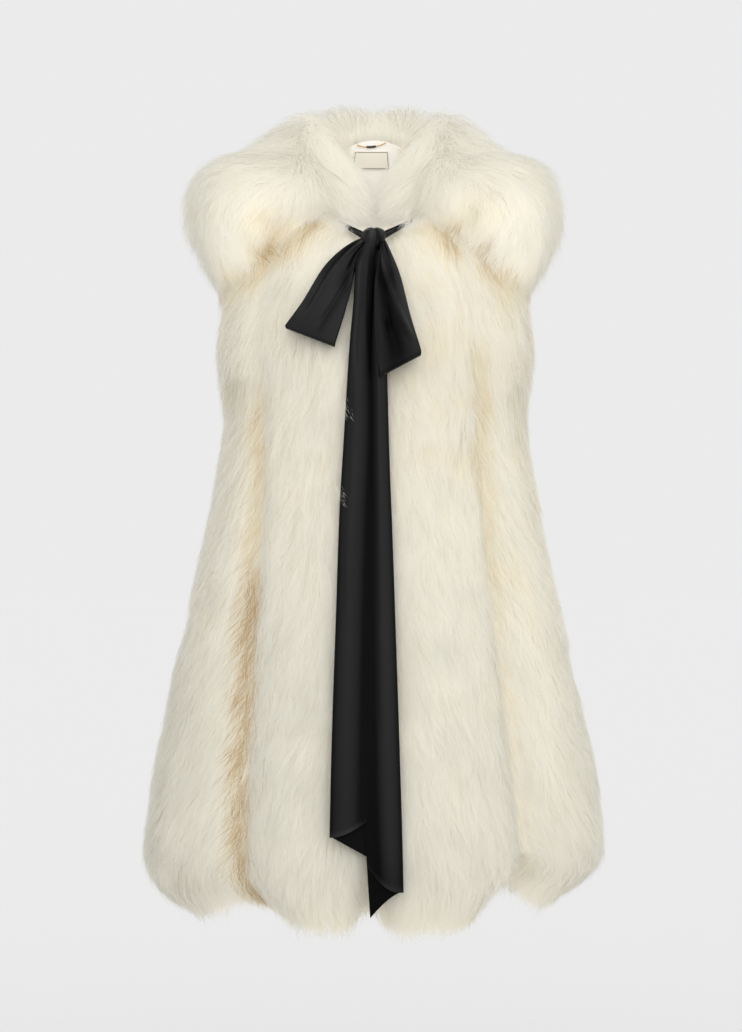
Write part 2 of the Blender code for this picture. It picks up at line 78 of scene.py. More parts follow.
# One row for each level ring of the fur's reach: drop is the length of cloth from the neck edge
Ring = namedtuple("Ring", "name drop z_front z_side z_back half_width front back wall")
RINGS = (
    Ring("neck edge", 0.000, -0.062, 0.012, 0.085, 0.082, 0.100, 0.098, 0.018),
    Ring("collar seat", 0.075, -0.096, -0.022, 0.013, 0.146, 0.130, 0.118, 0.022),
    Ring("shoulder", 0.140, -0.134, -0.075, -0.047, 0.190, 0.149, 0.142, 0.030),
    Ring("arm top", 0.215, -0.183, -0.146, -0.120, 0.214, 0.163, 0.161, 0.038),
    Ring("chest", 0.305, -0.250, -0.234, -0.212, 0.226, 0.173, 0.176, 0.040),
    Ring("waist", 0.405, -0.338, -0.332, -0.318, 0.218, 0.177, 0.180, 0.038),
    Ring("hip", 0.520, -0.447, -0.445, -0.438, 0.234, 0.187, 0.189, 0.038),
    Ring("thigh", 0.660, -0.586, -0.585, -0.582, 0.265, 0.203, 0.206, 0.040),
    Ring("knee", 0.800, -0.725, -0.725, -0.725, 0.296, 0.222, 0.226, 0.042),
    Ring("calf", 0.945, -0.870, -0.870, -0.870, 0.324, 0.242, 0.244, 0.044),
    Ring("hem bulge", 1.015, -0.940, -0.936, -0.938, 0.331, 0.249, 0.250, 0.046),
    Ring("hem curl", 1.055, -0.982, -0.974, -0.978, 0.321, 0.246, 0.244, 0.044),
    Ring("hem turn", 1.080, -1.010, -0.997, -1.003, 0.302, 0.234, 0.230, 0.036),
    Ring("hem tips", 1.100, -1.029, -1.014, -1.021, 0.272, 0.214, 0.212, 0.020),
)
HEM_DROP = RINGS[-1].drop

# One row for each valley between the rolls of fur: angles from the centre front, wearer's left positive,
# and how far the hem draws up in the valley
Fold = namedtuple("Fold", "name top_deg hem_deg top_depth hem_depth top_spread_deg hem_spread_deg hem_lift")
FOLDS = (
    Fold("front opening", 0.0, 0.0, 0.012, 0.034, 5.0, 4.5, 0.022),
    Fold("front hem notch", -4.5, -4.5, 0.000, 0.000, 4.5, 4.5, 0.022),
    Fold("right groove", -56.0, -45.0, 0.014, 0.064, 5.0, 6.5, 0.000),
    Fold("right hem notch", -52.0, -52.0, 0.000, 0.000, 6.5, 6.5, 0.024),
    Fold("right hem rise", -39.0, -39.0, 0.000, 0.000, 9.0, 9.0, 0.025),
    Fold("left groove", 48.5, 50.0, 0.012, 0.070, 4.5, 5.0, 0.070),
    Fold("left hem turn", 42.0, 42.0, 0.000, 0.000, 6.0, 6.0, 0.014),
    Fold("left hem rise", 78.0, 78.0, 0.000, 0.000, 28.0, 28.0, 0.020),
    Fold("right side fold", -106.0, -112.0, 0.000, 0.030, 9.0, 9.0, 0.010),
    Fold("left side fold", 108.0, 110.0, 0.000, 0.034, 9.0, 8.0, 0.012),
    Fold("right back fold", -146.0, -149.0, 0.010, 0.062, 6.0, 6.5, 0.030),
    Fold("left back fold", 141.0, 146.0, 0.010, 0.056, 6.0, 6.5, 0.022),
    Fold("centre back fold", 177.0, 178.0, 0.000, 0.046, 7.0, 7.0, 0.016),
)
FOLD_START_DROP = 0.20
FOLD_FALL_POWER = 0.7
HEM_START_DROP = 0.98
NECK_SLOPE_POWER = 1.5

# Steps towards the place on the cape that stands at an x and a z
FRONT_START_DROP = 0.076
FRONT_STEPS = 40
LEVEL_STEPS = 20
STEP_SHARE = 0.9

# Collar: it lies on the shoulders from a slanting front end round to the centre back
COLLAR_FRONT_TOP_DEG = 39.0
COLLAR_FRONT_LIP_DEG = 62.0
COLLAR_ROUND_END = 0.26
COLLAR_CREST = 0.60
COLLAR_LEAST_CREST = 0.35
COLLAR_FULLEST = 0.47
COLLAR_LIP_THINNING = 0.8
COLLAR_LIP_POWER = 0.8
COLLAR_STAND_SPREAD = 0.60
# Stand is how upright the fur is at the neck edge, inside how far it reaches from there into the neck, and
# climb how late it rises to its crest
CollarRow = namedtuple("CollarRow", "name share lip_drop depth stand inside climb")
COLLAR_ROWS = (
    CollarRow("front end", 0.00, 0.182, 0.086, 0.0, 0.030, 1.1),
    CollarRow("front", 0.16, 0.206, 0.101, 0.1, 0.064, 1.7),
    CollarRow("side", 0.38, 0.210, 0.126, 0.35, 0.074, 2.4),
    CollarRow("side back", 0.62, 0.203, 0.126, 1.1, 0.062, 0.9),
    CollarRow("towards back", 0.75, 0.200, 0.120, 1.5, 0.042, 1.0),
    CollarRow("near back", 0.84, 0.197, 0.117, 1.8, 0.026, 0.8),
    CollarRow("centre back", 1.00, 0.192, 0.104, 2.1, 0.006, 0.7),
)
COLLAR_INSIDE_MOST = 0.074
COLLAR_INSIDE_FALL = 0.45

# Fur pieces: the pelt's columns and its flat cut, and how many strands grow on it, the seed of their random
# draws, how coarse they are and how warm. The tone also holds painted shade: it is set for each piece to
# even out how the light falls on the sides, and is lower, darker and greyer, on the collar
Pelt = namedtuple("Pelt", "name columns flat_width flat_length flat_area strands seed coarseness tone")
PANELS = (
    Pelt("front_r", 16, 0.22, 1.02, 0.150, 37000, 11, 1.0, 0.32),
    Pelt("front_l", 16, 0.22, 1.02, 0.150, 37000, 12, 1.0, 0.36),
    Pelt("side_r", 24, 0.35, 1.08, 0.280, 43000, 13, 1.1, 0.32),
    Pelt("side_l", 24, 0.35, 1.08, 0.280, 43000, 14, 1.1, 0.38),
    Pelt("back", 40, 0.52, 1.10, 0.425, 45000, 15, 1.35, 0.36),
)
COLLARS = (
    Pelt("collar_r", 30, 0.47, 0.27, 0.115, 41000, 16, 1.0, 0.19),
    Pelt("collar_l", 30, 0.47, 0.27, 0.115, 41000, 17, 1.0, 0.20),
)
PELT_ROWS = 44
PELT_SHARE = 0.42
PELT_TOP_DROP = 0.006
COLLAR_PELT_ROWS = 26
COLLAR_PELT_START = 0.05
COLLAR_PELT_END = 0.94
COLLAR_PELT_HEIGHT = 0.55
COLLAR_PELT_RISE = (-0.02, 0.18)
COLLAR_PELT_THICK = 0.004

# How a coat of hair grows: the salt of its random swells, the level that its roots are spread over, its
# tufts, the height of its tips, its length, how much of it lies on past an end, its lean and its tone, and
# what tufts, swells and chance add to them
Coat = namedtuple(
    "Coat",
    "salt level tuft_scale stretch tip tip_tuft tip_length tip_chance tip_most hair_range"
    " past_least past_tuft past_chance lean_swell lean_length lean_tuft tone_swell",
)
BODY_COAT = Coat(
    salt=30, level=0.80, tuft_scale=1.0, stretch=(1.0, 1.0, 0.6), tip=0.93, tip_tuft=0.12, tip_length=0.16,
    tip_chance=0.04, tip_most=1.05, hair_range=(0.7, 1.15), past_least=0.05, past_tuft=0.30, past_chance=0.35,
    lean_swell=0.22, lean_length=0.10, lean_tuft=0.34, tone_swell=0.045,
)
COLLAR_COAT = Coat(
    salt=40, level=0.85, tuft_scale=1.2, stretch=(1.0, 1.0, 1.0), tip=0.96, tip_tuft=0.10, tip_length=0.12,
    tip_chance=0.03, tip_most=1.06, hair_range=(0.6, 1.1), past_least=0.1, past_tuft=0.4, past_chance=0.5,
    lean_swell=0.32, lean_length=0.09, lean_tuft=0.36, tone_swell=0.05,
)
TIP_SWELL = 0.05
TONE_TUFT = 0.14
TONE_LENGTH = 0.07
TONE_CHANCE = 0.06
WIDTH_RANGE = (0.7, 1.2)
PACE_RANGE = (0.6, 1.2)

# Body hair: where it roots, how it leans back round the body and runs in the valleys, and what each cause
# adds to its tone, which runs from 0, cool, to 1, deep. Most are painted shade: greyer lower down, and
# deeper under the laps, in the crease under the collar and at the hem
NO_END = 100.0
HEM_ROOT_GAP = 0.006
UNDER_COLLAR = 0.045
FULL_VALLEY = 0.075
BODY_ROOT_MOST = 0.72
LEAST_RISE = 0.12
LEAN_CHANCE = 0.20
LEAN_LEAST = 0.08
LEAN_RIGHT = 0.36
LEAN_LEFT = 0.16
LEAN_MOST_DEG = 84.0
LEAN_SPREAD_DEG = 22.0
LEAN_BACK_DEG = 40.0
VALLEY_STRAIGHTER = 0.7
VALLEY_SHORTER = 0.25
LOWER_PAINTED_SHADE = 0.22
LOWER_SHADE_START_DROP = 0.30
LOWER_SHADE_END_DROP = 0.95
LAP_PAINTED_SHADOW = 0.2
BODY_CREASE_WIDTH = 0.014
BODY_CREASE_PAINTED_SHADE = 0.42
HEM_PAINTED_SHADE = 0.25
HEM_SHADE_START = 0.02

# Collar hair: where it roots, how it turns to the front, how far its shading is turned to the light in the
# neck and at the front end, and what each cause adds to its tone: painted shade darkens its crease over the
# chest and its lip, and greys the back of the collar
COLLAR_ROOT_SPREAD = (-0.7, 0.97)
COLLAR_LEAST_DEPTH = 0.020
COLLAR_ROOT_MOST = 0.86
COLLAR_TO_FRONT = 0.75
NECK_UP = 0.5
END_UP = 0.9
END_TONE = 0.2
COLLAR_CREASE_UNEVEN = 0.15
LIP_PAINTED_SHADE = 0.25
BACK_PAINTED_SHADE = 0.13
NECK_TONE = 0.04

# Hair that turns in over the front of the neck edge: its length at each angle from the centre front
FringeRow = namedtuple("FringeRow", "deg length")
FRINGE_ROWS = (
    FringeRow(0.0, 0.008),
    FringeRow(22.0, 0.018),
    FringeRow(45.0, 0.034),
    FringeRow(75.0, 0.042),
    FringeRow(110.0, 0.020),
)
FRINGE_STRANDS = 3000
FRINGE_START_DEG = 8.0
FRINGE_DROP = 0.045
FRINGE_EDGE = 0.012
FRINGE_TONE = 0.36
# Short hair round the neck edge: how far down it roots, and its length where it lies and where it stands
RIM_STRANDS = 2600
RIM_DROP = 0.020
RIM_LYING = 0.026
RIM_STANDING = 0.030
RIM_TONE = 0.34

# Stray tufts over the silk: where they root over the front of the cape and how far they spread, run and lift
Stray = namedtuple("Stray", "name panel x z spread_x spread_z run_x run_z lift strands")
STRAYS = (
    Stray("right strap", "front_r", -0.047, -0.047, 0.009, 0.004, 0.008, -0.024, 0.016, 420),
    Stray("left strap", "front_l", 0.051, -0.046, 0.009, 0.004, -0.008, -0.024, 0.016, 420),
    Stray("ribbon upper", "front_r", -0.046, -0.304, 0.003, 0.007, 0.011, -0.024, 0.023, 60),
    Stray("ribbon lower", "front_r", -0.052, -0.424, 0.003, 0.006, 0.010, -0.020, 0.022, 45),
)
STRAY_SINK = 0.003
STRAY_TONE = 0.34

# Places where the fur of an upper skin laps over the skin below it
Lap = namedtuple("Lap", "name angle_deg spread_deg drop depth")
LAPS = (
    Lap("right side", -60.0, 20.0, 0.316, 0.36),
    Lap("right front", -26.0, 12.0, 0.425, 0.18),
    Lap("left front", 27.0, 14.0, 0.408, 0.26),
    Lap("left side", 66.0, 14.0, 0.330, 0.22),
    Lap("right side low", -75.0, 22.0, 0.640, 0.16),
    Lap("left side low", 78.0, 20.0, 0.700, 0.15),
    Lap("right front low", -24.0, 14.0, 0.800, 0.10),
    Lap("left front low", 26.0, 14.0, 0.760, 0.12),
    Lap("back upper", 178.0, 45.0, 0.360, 0.18),
    Lap("back right", -150.0, 22.0, 0.620, 0.18),
    Lap("back left", 152.0, 22.0, 0.680, 0.18),
)
LAP_RECOVERY = 0.09
LAP_OVERHANG = 0.026
LAP_SHADE = 0.022
LAP_UNEVEN = 0.007

# Warmer, darker streaks: painted shade in the valleys, with the warmer roots that show there, along a line
# from one angle and drop to another
Streak = namedtuple("Streak", "name deg_0 drop_0 deg_1 drop_1 width tint")
STREAKS = (
    Streak("right groove upper", -54.5, 0.340, -49.5, 0.690, 0.011, 0.52),
    Streak("right groove lower", -50.5, 0.600, -44.0, 1.090, 0.012, 1.10),
    Streak("left groove", 48.5, 0.280, 50.0, 1.070, 0.009, 0.42),
    Streak("left side upper", 56.0, 0.545, 57.0, 0.660, 0.008, 0.30),
    Streak("left side middle", 62.0, 0.600, 61.0, 0.740, 0.006, 0.26),
    Streak("left side lower", 58.0, 0.700, 60.0, 0.850, 0.007, 0.20),
    Streak("left chest", 37.0, 0.215, 52.0, 0.290, 0.012, 0.12),
    Streak("right side", -72.0, 0.560, -66.0, 0.760, 0.008, 0.18),
    Streak("right hem", -66.0, 0.860, -63.0, 1.020, 0.009, 0.20),
    Streak("front opening", 0.0, 0.120, 0.0, 1.080, 0.006, 0.30),
    Streak("right back", -146.0, 0.400, -149.0, 1.080, 0.010, 0.40),
    Streak("left back", 141.0, 0.420, 146.0, 1.080, 0.010, 0.36),
    Streak("centre back", 177.0, 0.480, 178.0, 1.080, 0.009, 0.30),
)

# Strands: shares of the length at which each has points, and their widths before the pointed tip
STRAND_SHARES = np.array((0.0, 0.5, 1.0))
STRAND_WIDTHS = np.array((0.85, 1.0))
# How a strand bows, how early it rises, how it rolls, and how far a free one runs on and droops
STRAND_BOW = 0.22
STRAND_RISE_POWER = 2.4
STRAND_ROLL = 0.55
FREE_REACH = 0.85
FREE_DROOP = 0.25
# How much of its shading comes from the form that it lies on, and how tone and shading vary on it
FORM_SHADE = 0.9
SHADE_CHANCE = 0.04
HALF_TONE = 0.012
# How far the hair of a tuft closes in on the tuft's middle
TUFT_CLOSING = 0.34
TUFT_CLOSING_AHEAD = 0.6
TUFT_SALT = 3
TRAIT_SALTS = (21, 22, 23)
# Directions, and how far down the shading of the hair may look
UP = np.array((0.0, 0.0, 1.0))
LEVEL = np.array((1.0, 1.0, 0.0))
FRONT_UP = np.array((0.0, -0.95, 0.30))
BODY_UNDER = -0.12
COLLAR_UNDER = -0.50

# Random numbers from places, and swells made of sine waves
HASH_PACE = np.array((127.1, 311.7, 74.7))
HASH_SALT = 53.3
HASH_SCALE = 43758.5453
WAVE_COUNT = 6
WAVE_LEVEL = 2.6

# Neck facing, label and hanging chain, inside the back of the neck
FACING_HALF_DEG = 48.0
FACING_TOP_DROP = 0.004
FACING_END_DROP = 0.150
FACING_THICK = 0.0015
FACING_GAP = 0.0008
FACING_FLAT = (0.20, 0.15)
LABEL_WIDTH = 0.052
LABEL_HEIGHT = 0.026
LABEL_TOP_DROP = 0.020
LABEL_THICK = 0.0010
NECK_SHIFT = 0.0050
CHAIN_SPAN = 0.046
CHAIN_SAG = 0.008
CHAIN_TOP_DROP = 0.005
SLEEVE_SHARE = 0.34
SLEEVE_RADIUS = 0.0014
LINK_LENGTH = 0.0034
LINK_WIDTH = 0.0022
LINK_WIRE = 0.00034
LINK_PITCH = LINK_LENGTH * 0.62

# Silk tie: its places are x and z over the front of the cape, and lift is how far they stand off the fur
KNOT_SIZE = (0.036, 0.024, 0.028)
KNOT_PLACE = (-0.001, -0.083)
KNOT_LIFT = 0.026
Strap = namedtuple("Strap", "name x_out z_out width_out x_in z_in width_in")
STRAPS = (
    Strap("tie_strap_r", -0.048, -0.056, 0.005, -0.0174, -0.078, 0.012),
    Strap("tie_strap_l", 0.052, -0.053, 0.005, 0.0151, -0.077, 0.012),
)
STRAP_MAP = (0.02, 0.045)
STRAP_RIDGE = 0.0010
# Loops: where the outer and inner edges run, from the knot to the fold, how far the layers stand off, their
# creases, and their bands of painted sheen and painted shade
LoopRow = namedtuple("LoopRow", "share out_x out_z in_x in_z")
Loop = namedtuple("Loop", "name top_lift back_lift front_lift crown fold_radius flat rows creases glosses")
# A soft trough, less than 0, or ridge along a line over the cloth, from one place across and down it to
# another. In the bands of painted light the same rows add painted sheen, and painted shade where the depth
# is less than 0.
Crease = namedtuple("Crease", "across_0 down_0 across_1 down_1 spread depth")
LOOPS = (
    Loop(
        "bow_loop_r", 0.022, 0.004, 0.015, 0.006, 0.0045, (0.075, 0.30),
        (LoopRow(0.0, -0.013, -0.080, -0.013, -0.095), LoopRow(0.15, -0.030, -0.088, -0.0235, -0.113),
         LoopRow(0.40, -0.063, -0.118, -0.0295, -0.145), LoopRow(0.72, -0.096, -0.174, -0.040, -0.186),
         LoopRow(1.0, -0.116, -0.203, -0.053, -0.229)),
        (Crease(0.16, 0.10, 0.14, 0.80, 0.085, -0.0050), Crease(0.34, 0.05, 0.38, 0.50, 0.07, 0.0022),
         Crease(0.86, 0.30, 0.60, 0.86, 0.045, -0.0024), Crease(0.62, 0.02, 0.72, 0.34, 0.06, -0.0030),
         Crease(0.90, 0.02, 0.92, 0.30, 0.05, 0.0020)),
        (Crease(0.25, 0.35, 0.30, 1.00, 0.30, 0.10), Crease(0.75, 0.00, 0.70, 0.50, 0.18, -0.30),
         Crease(0.90, 0.45, 0.62, 0.95, 0.07, -0.22), Crease(0.16, 0.10, 0.14, 0.50, 0.10, -0.25)),
    ),
    Loop(
        "bow_loop_l", 0.024, 0.013, 0.030, 0.010, 0.007, (0.072, 0.36),
        (LoopRow(0.0, 0.013, -0.080, 0.008, -0.095), LoopRow(0.15, 0.0190, -0.095, 0.005, -0.115),
         LoopRow(0.40, 0.0330, -0.135, 0.000, -0.155), LoopRow(0.72, 0.0450, -0.190, 0.001, -0.215),
         LoopRow(1.0, 0.0587, -0.239, 0.007, -0.268)),
        (Crease(0.80, 0.06, 0.12, 0.86, 0.060, 0.0065), Crease(0.95, 0.22, 0.46, 0.92, 0.16, -0.0085),
         Crease(0.25, 0.02, 0.14, 0.42, 0.06, -0.0028), Crease(0.55, 0.60, 0.60, 0.76, 0.07, -0.0030)),
        (Crease(0.08, 0.10, 0.10, 0.95, 0.10, 0.25), Crease(0.60, 0.30, 0.55, 1.05, 0.34, -0.50),
         Crease(0.80, 0.06, 0.30, 0.70, 0.05, 0.15), Crease(0.30, 0.02, 0.25, 0.45, 0.08, -0.25)),
    ),
)
# Tails: where the fold and the free edges run, how the two layers end, how far they stand off, their
# creases, and their bands of painted sheen and painted shade
TailRow = namedtuple("TailRow", "z fold_x free_x lift")
Tail = namedtuple(
    "Tail", "name z_fold_end z_front_end z_back_end front_power back_power opening flat rows creases glosses"
)
TAILS = (
    Tail(
        "tie_tail_r", -0.891, -0.870, -0.916, 1.6, 1.0, 0.006, (0.095, 0.84),
        (TailRow(-0.072, -0.0070, 0.0045, 0.0350), TailRow(-0.088, -0.0100, 0.0035, 0.0400),
         TailRow(-0.105, -0.0170, 0.0005, 0.0300), TailRow(-0.125, -0.0235, -0.0010, 0.0200),
         TailRow(-0.168, -0.0255, -0.0040, 0.0120), TailRow(-0.232, -0.0310, -0.0050, 0.0070),
         TailRow(-0.340, -0.0375, -0.0025, 0.0045), TailRow(-0.460, -0.0444, -0.0055, 0.0040),
         TailRow(-0.580, -0.0484, -0.0080, 0.0040), TailRow(-0.790, -0.0550, -0.0095, 0.0040),
         TailRow(-0.920, -0.0575, -0.0110, 0.0040)),
        (Crease(0.25, 0.02, 0.22, 0.22, 0.14, -0.0020), Crease(0.60, 0.00, 0.55, 0.14, 0.14, 0.0016),
         Crease(0.35, 0.25, 0.30, 0.62, 0.20, 0.0012), Crease(0.62, 0.45, 0.70, 0.98, 0.18, -0.0012)),
        (Crease(0.34, -0.2, 0.38, 1.2, 0.30, 0.08), Crease(1.00, -0.2, 0.96, 1.2, 0.26, -0.50),
         Crease(0.00, -0.2, 0.00, 1.2, 0.06, -0.25), Crease(0.60, 0.00, 0.50, 0.20, 0.10, -0.15)),
    ),
    Tail(
        "tie_tail_l", -0.9635, -0.927, -0.999, 2.2, 1.4, 0.006, (0.095, 0.92),
        (TailRow(-0.086, 0.0105, -0.0060, 0.0060), TailRow(-0.270, 0.0144, -0.0085, 0.0035),
         TailRow(-0.385, 0.0174, -0.0095, 0.0030), TailRow(-0.465, 0.0204, -0.0115, 0.0030),
         TailRow(-0.580, 0.0243, -0.0145, 0.0030), TailRow(-0.790, 0.0310, -0.0150, 0.0030),
         TailRow(-0.915, 0.0345, -0.0110, 0.0030), TailRow(-1.000, 0.0362, -0.0060, 0.0030)),
        (Crease(0.40, 0.18, 0.42, 0.55, 0.16, 0.0016), Crease(0.70, 0.40, 0.66, 0.80, 0.16, -0.0018),
         Crease(0.50, 0.80, 0.62, 1.00, 0.14, 0.0014)),
        (Crease(0.28, -0.2, 0.32, 1.2, 0.20, 0.12), Crease(0.85, -0.2, 0.80, 1.2, 0.28, -0.46),
         Crease(0.00, -0.2, 0.00, 1.2, 0.06, -0.22)),
    ),
)
TAIL_CROWN = 0.0030
# Rows at the tails' ends for the painted highlight on the hem's rim, and the silk's level of painted light
HEM_RIM_SHARES = (0.989, 0.993, 0.996, 1.0)
LEVEL_PAINTED_LIGHT = 0.5

# View of the cape: the picture is 742 by 1032, and one of its pixels is 1.42 mm at the cape's axis
PICTURE_HEIGHT = 1032 * 0.00142
CAMERA_PLACE = (-0.00497, -4.0, -0.46292)
SENSOR = 36.0
FLOOR_Z = -1.45
FLOOR_RADIUS = 30.0
FLOOR_SIDES = 64
# Broad lights round the cape: each one's share of the key light's strength, and its turn from straight in
# front
Lamp = namedtuple("Lamp", "name share turn_deg")
LAMPS = (
    Lamp("key", 1.0, 6.0),
    Lamp("left", 0.36, 80.0),
    Lamp("right", 0.27, -80.0),
    Lamp("back", 0.50, 180.0),
)
LAMP_TILT_DEG = 66.0


def hex_colour(code):
    """A colour written as six sRGB hex digits, in linear red, green and blue."""
    parts = np.array([int(code[i:i + 2], 16) for i in (0, 2, 4)]) / 255.0
    linear = np.where(parts <= 0.04045, parts / 12.92, ((parts + 0.055) / 1.055) ** 2.4)
    return tuple(float(value) for value in linear)


def length_prop(name, default, description):
    return FloatProperty(name=name, description=description, default=default, unit="LENGTH", precision=5)


def colour_prop(name, code, description):
    return FloatVectorProperty(
        name=name, description=description, default=hex_colour(code), subtype="COLOR", min=0.0, max=1.0
    )


class FurSettings(PropertyGroup):
    body_length: length_prop("Body hair", 0.062, "Length of the hair on the body")
    collar_length: length_prop("Collar hair", 0.078, "Length of the hair on the collar")
    strand_width: length_prop("Strand width", 0.0006, "Width of one strand at its widest")
    tuft_size: length_prop("Tuft size", 0.017, "Distance between neighbouring tufts")
    tip_colour: colour_prop("Tips", "F0EEE7", "Colour of the hair towards its tips")
    # the cool colour is also where the painted shade of the lower body and of the collar's back leads
    cool_colour: colour_prop("Cool tips", "E3E2DA", "Colour of the greyer tufts")
    warm_colour: colour_prop("Warm hair", "EAE2CB", "Colour of the creamier tufts")
    # painted shade: the tone runs up to this crease colour along the valleys, laps, creases, lip and hem
    crease_shade_colour: colour_prop("Creases", "C0A67A", "Colour of the hair in the creases")
    root_colour: colour_prop("Roots", "E4E0D5", "Colour of the hair at the skin")


class SilkSettings(PropertyGroup):
    thickness: length_prop("Silk thickness", 0.0010, "Thickness of the silk with its turned edges")
    colour: colour_prop("Silk", "111112", "Colour of the silk")
    roughness: FloatProperty(
        name="Silk roughness", description="Spread of the silk's gloss", default=0.42, subtype="FACTOR"
    )


class NeckSettings(PropertyGroup):
    lining_colour: colour_prop("Lining", "FAF7EF", "Colour of the satin lining and facing")
    label_colour: colour_prop("Label", "E8E2D5", "Colour of the woven label")
    border_colour: colour_prop("Label border", "5C5344", "Colour of the line round the label")
    gilt_colour: colour_prop("Gilt", "E0B566", "Colour of the chain")
    sleeve_colour: colour_prop("Sleeve", "1B1A19", "Colour of the sleeve on the chain")


class StageSettings(PropertyGroup):
    backdrop_colour: colour_prop("Backdrop", "EBEBEB", "Colour behind the cape")
    floor_colour: colour_prop("Floor", "D5D5D5", "Colour of the floor")
    key_strength: FloatProperty(name="Key light", description="Strength of the key light", default=1.49)
    softness: FloatProperty(
        name="Light softness", description="How wide the lights are", default=math.radians(70.0),
        subtype="ANGLE",
    )


def ramp(value, start, end):
    """0 before start, 1 past end, and a soft S between. With start above end it falls as the value grows."""
    share = np.clip((value - start) / (end - start), 0.0, 1.0)
    return share * share * (3.0 - 2.0 * share)


def within_ends(share, soft):
    """1 from share 0 to share 1, fading to 0 over a soft length about each end."""
    return ramp(share, -soft, soft) * ramp(share, 1.0 + soft, 1.0 - soft)


def unit(vectors):
    return vectors / np.maximum(np.linalg.norm(vectors, axis=-1, keepdims=True), 1e-12)


def along(rows, key, column, at):
    """A column of a table read at any place along its key, on a curve with no overshoot between rows."""
    keys = np.array([getattr(row, key) for row in rows], float)
    values = np.array([getattr(row, column) for row in rows], float)
    steps = np.diff(keys)
    slopes = np.diff(values) / steps
    tangents = np.zeros(len(keys))
    tangents[0] = slopes[0]
    tangents[-1] = slopes[-1]
    both = slopes[:-1] * slopes[1:] > 0.0
    mean = 2.0 * slopes[:-1] * slopes[1:] / np.where(both, slopes[:-1] + slopes[1:], 1.0)
    tangents[1:-1] = np.where(both, mean, 0.0)
    at = np.asarray(at, float)
    index = np.clip(np.searchsorted(keys, at, side="right") - 1, 0, len(steps) - 1)
    step = steps[index]
    t = (at - keys[index]) / step
    return (
        values[index] * (1.0 + 2.0 * t) * (1.0 - t) ** 2
        + tangents[index] * step * t * (1.0 - t) ** 2
        + values[index + 1] * t * t * (3.0 - 2.0 * t)
        + tangents[index + 1] * step * t * t * (t - 1.0)
    )


def ring_value(column, drop):
    return along(RINGS, "drop", column, drop)


def ring_radius(angle, half_width, front, back):
    """Distance from the axis to a rounded ring that is wider than it is deep."""
    depth = np.where(np.cos(angle) > 0.0, front, back)
    across = (np.abs(np.sin(angle)) / half_width) ** RING_POWER
    deep = (np.abs(np.cos(angle)) / depth) ** RING_POWER
    return (across + deep) ** (-1.0 / RING_POWER)


def fold_fall(drop):
    """How far each valley has opened, 0 at the chest and 1 at the hem."""
    return ramp(drop, FOLD_START_DROP, HEM_DROP) ** FOLD_FALL_POWER


def hem_share(drop):
    """0 over most of the cape, rising to 1 at the hem."""
    return ramp(drop, HEM_START_DROP, HEM_DROP)


def turn_between(angle, centre):
    """The angle from a centre to each angle, from minus to plus half a turn."""
    return (angle - centre + math.pi) % (2.0 * math.pi) - math.pi


def fold_valleys(angle, drop):
    """How far the valleys between the rolls of fur cut in, and how far they draw the hem up."""
    fall = fold_fall(drop)
    start = ramp(drop, 0.0, FOLD_START_DROP)
    depth = 0.0
    lift = 0.0
    for fold in FOLDS:
        centre = np.radians(fold.top_deg + (fold.hem_deg - fold.top_deg) * fall)
        spread = np.radians(fold.top_spread_deg + (fold.hem_spread_deg - fold.top_spread_deg) * fall)
        shape = 1.0 / (1.0 + (turn_between(angle, centre) / spread) ** 2)
        depth = depth + shape * start * (fold.top_depth + (fold.hem_depth - fold.top_depth) * fall)
        lift = lift + shape * fold.hem_lift * hem_share(drop)
    return depth, lift


def body_point(angle, drop, height, folds=1.0):
    """A place in the wall of the body: the ring at that drop, less a share of the valleys, from skin to fur
    tips. With no valleys the hem is level too."""
    angle, drop, height = np.broadcast_arrays(np.asarray(angle, float), drop, height)
    wall = ring_value("wall", drop)
    half_width, front, back = (ring_value(name, drop) for name in ("half_width", "front", "back"))
    valley, lift = fold_valleys(angle, drop)
    valley, lift = folds * valley, np.sign(folds) * lift
    outer = ring_radius(angle, half_width, front, back) - valley
    inner = ring_radius(angle, half_width - wall, front - wall, back - wall) - INNER_FOLD_SHARE * valley
    inner = np.minimum(inner, outer - LEAST_WALL)
    radius = inner + height * (outer - inner)
    facing = np.cos(angle)
    z_side = ring_value("z_side", drop)
    z_end = np.where(facing > 0.0, ring_value("z_front", drop), ring_value("z_back", drop))
    z = z_side + (z_end - z_side) * np.abs(facing) ** NECK_SLOPE_POWER
    z = z + lift + HEM_SKIN_RISE * (1.0 - height) * hem_share(drop)
    return np.stack([radius * np.sin(angle), -radius * facing, z], axis=-1)


def body_normal(angle, drop, height, folds=1.0):
    """The outward direction square to the body's surface."""
    turn = 0.01
    fall = 0.004
    across = body_point(angle + turn, drop, height, folds) - body_point(angle - turn, drop, height, folds)
    down = body_point(angle, drop + fall, height, folds) - body_point(angle, drop - fall, height, folds)
    return unit(np.cross(down, across))


def fur_point(angle, drop, height):
    """A place in the fur of the body, which fills part of the valleys in the skin."""
    return body_point(angle, drop, height, FUR_FOLD_SHARE)


def front_point(x, z, lift):
    """A place over the front of the cape, lift straight out from its smooth outer form: the angle and
    drop that stand at x and z are found by stepping towards them."""
    x, z = np.broadcast_arrays(np.asarray(x, float), z)
    angle = np.zeros(x.shape)
    drop = np.clip(FRONT_START_DROP - z, 0.0, HEM_DROP)
    for _ in range(FRONT_STEPS):
        point = body_point(angle, drop, 1.0, 0.0)
        angle = np.arcsin(np.clip(x / np.linalg.norm(point[..., :2], axis=-1), -0.99, 0.99))
        drop = np.clip(drop + STEP_SHARE * (point[..., 2] - z), 0.0, HEM_DROP)
    out = unit(body_normal(angle, drop, 1.0, 0.0) * LEVEL)
    return body_point(angle, drop, 1.0, 0.0) + np.asarray(lift)[..., None] * out


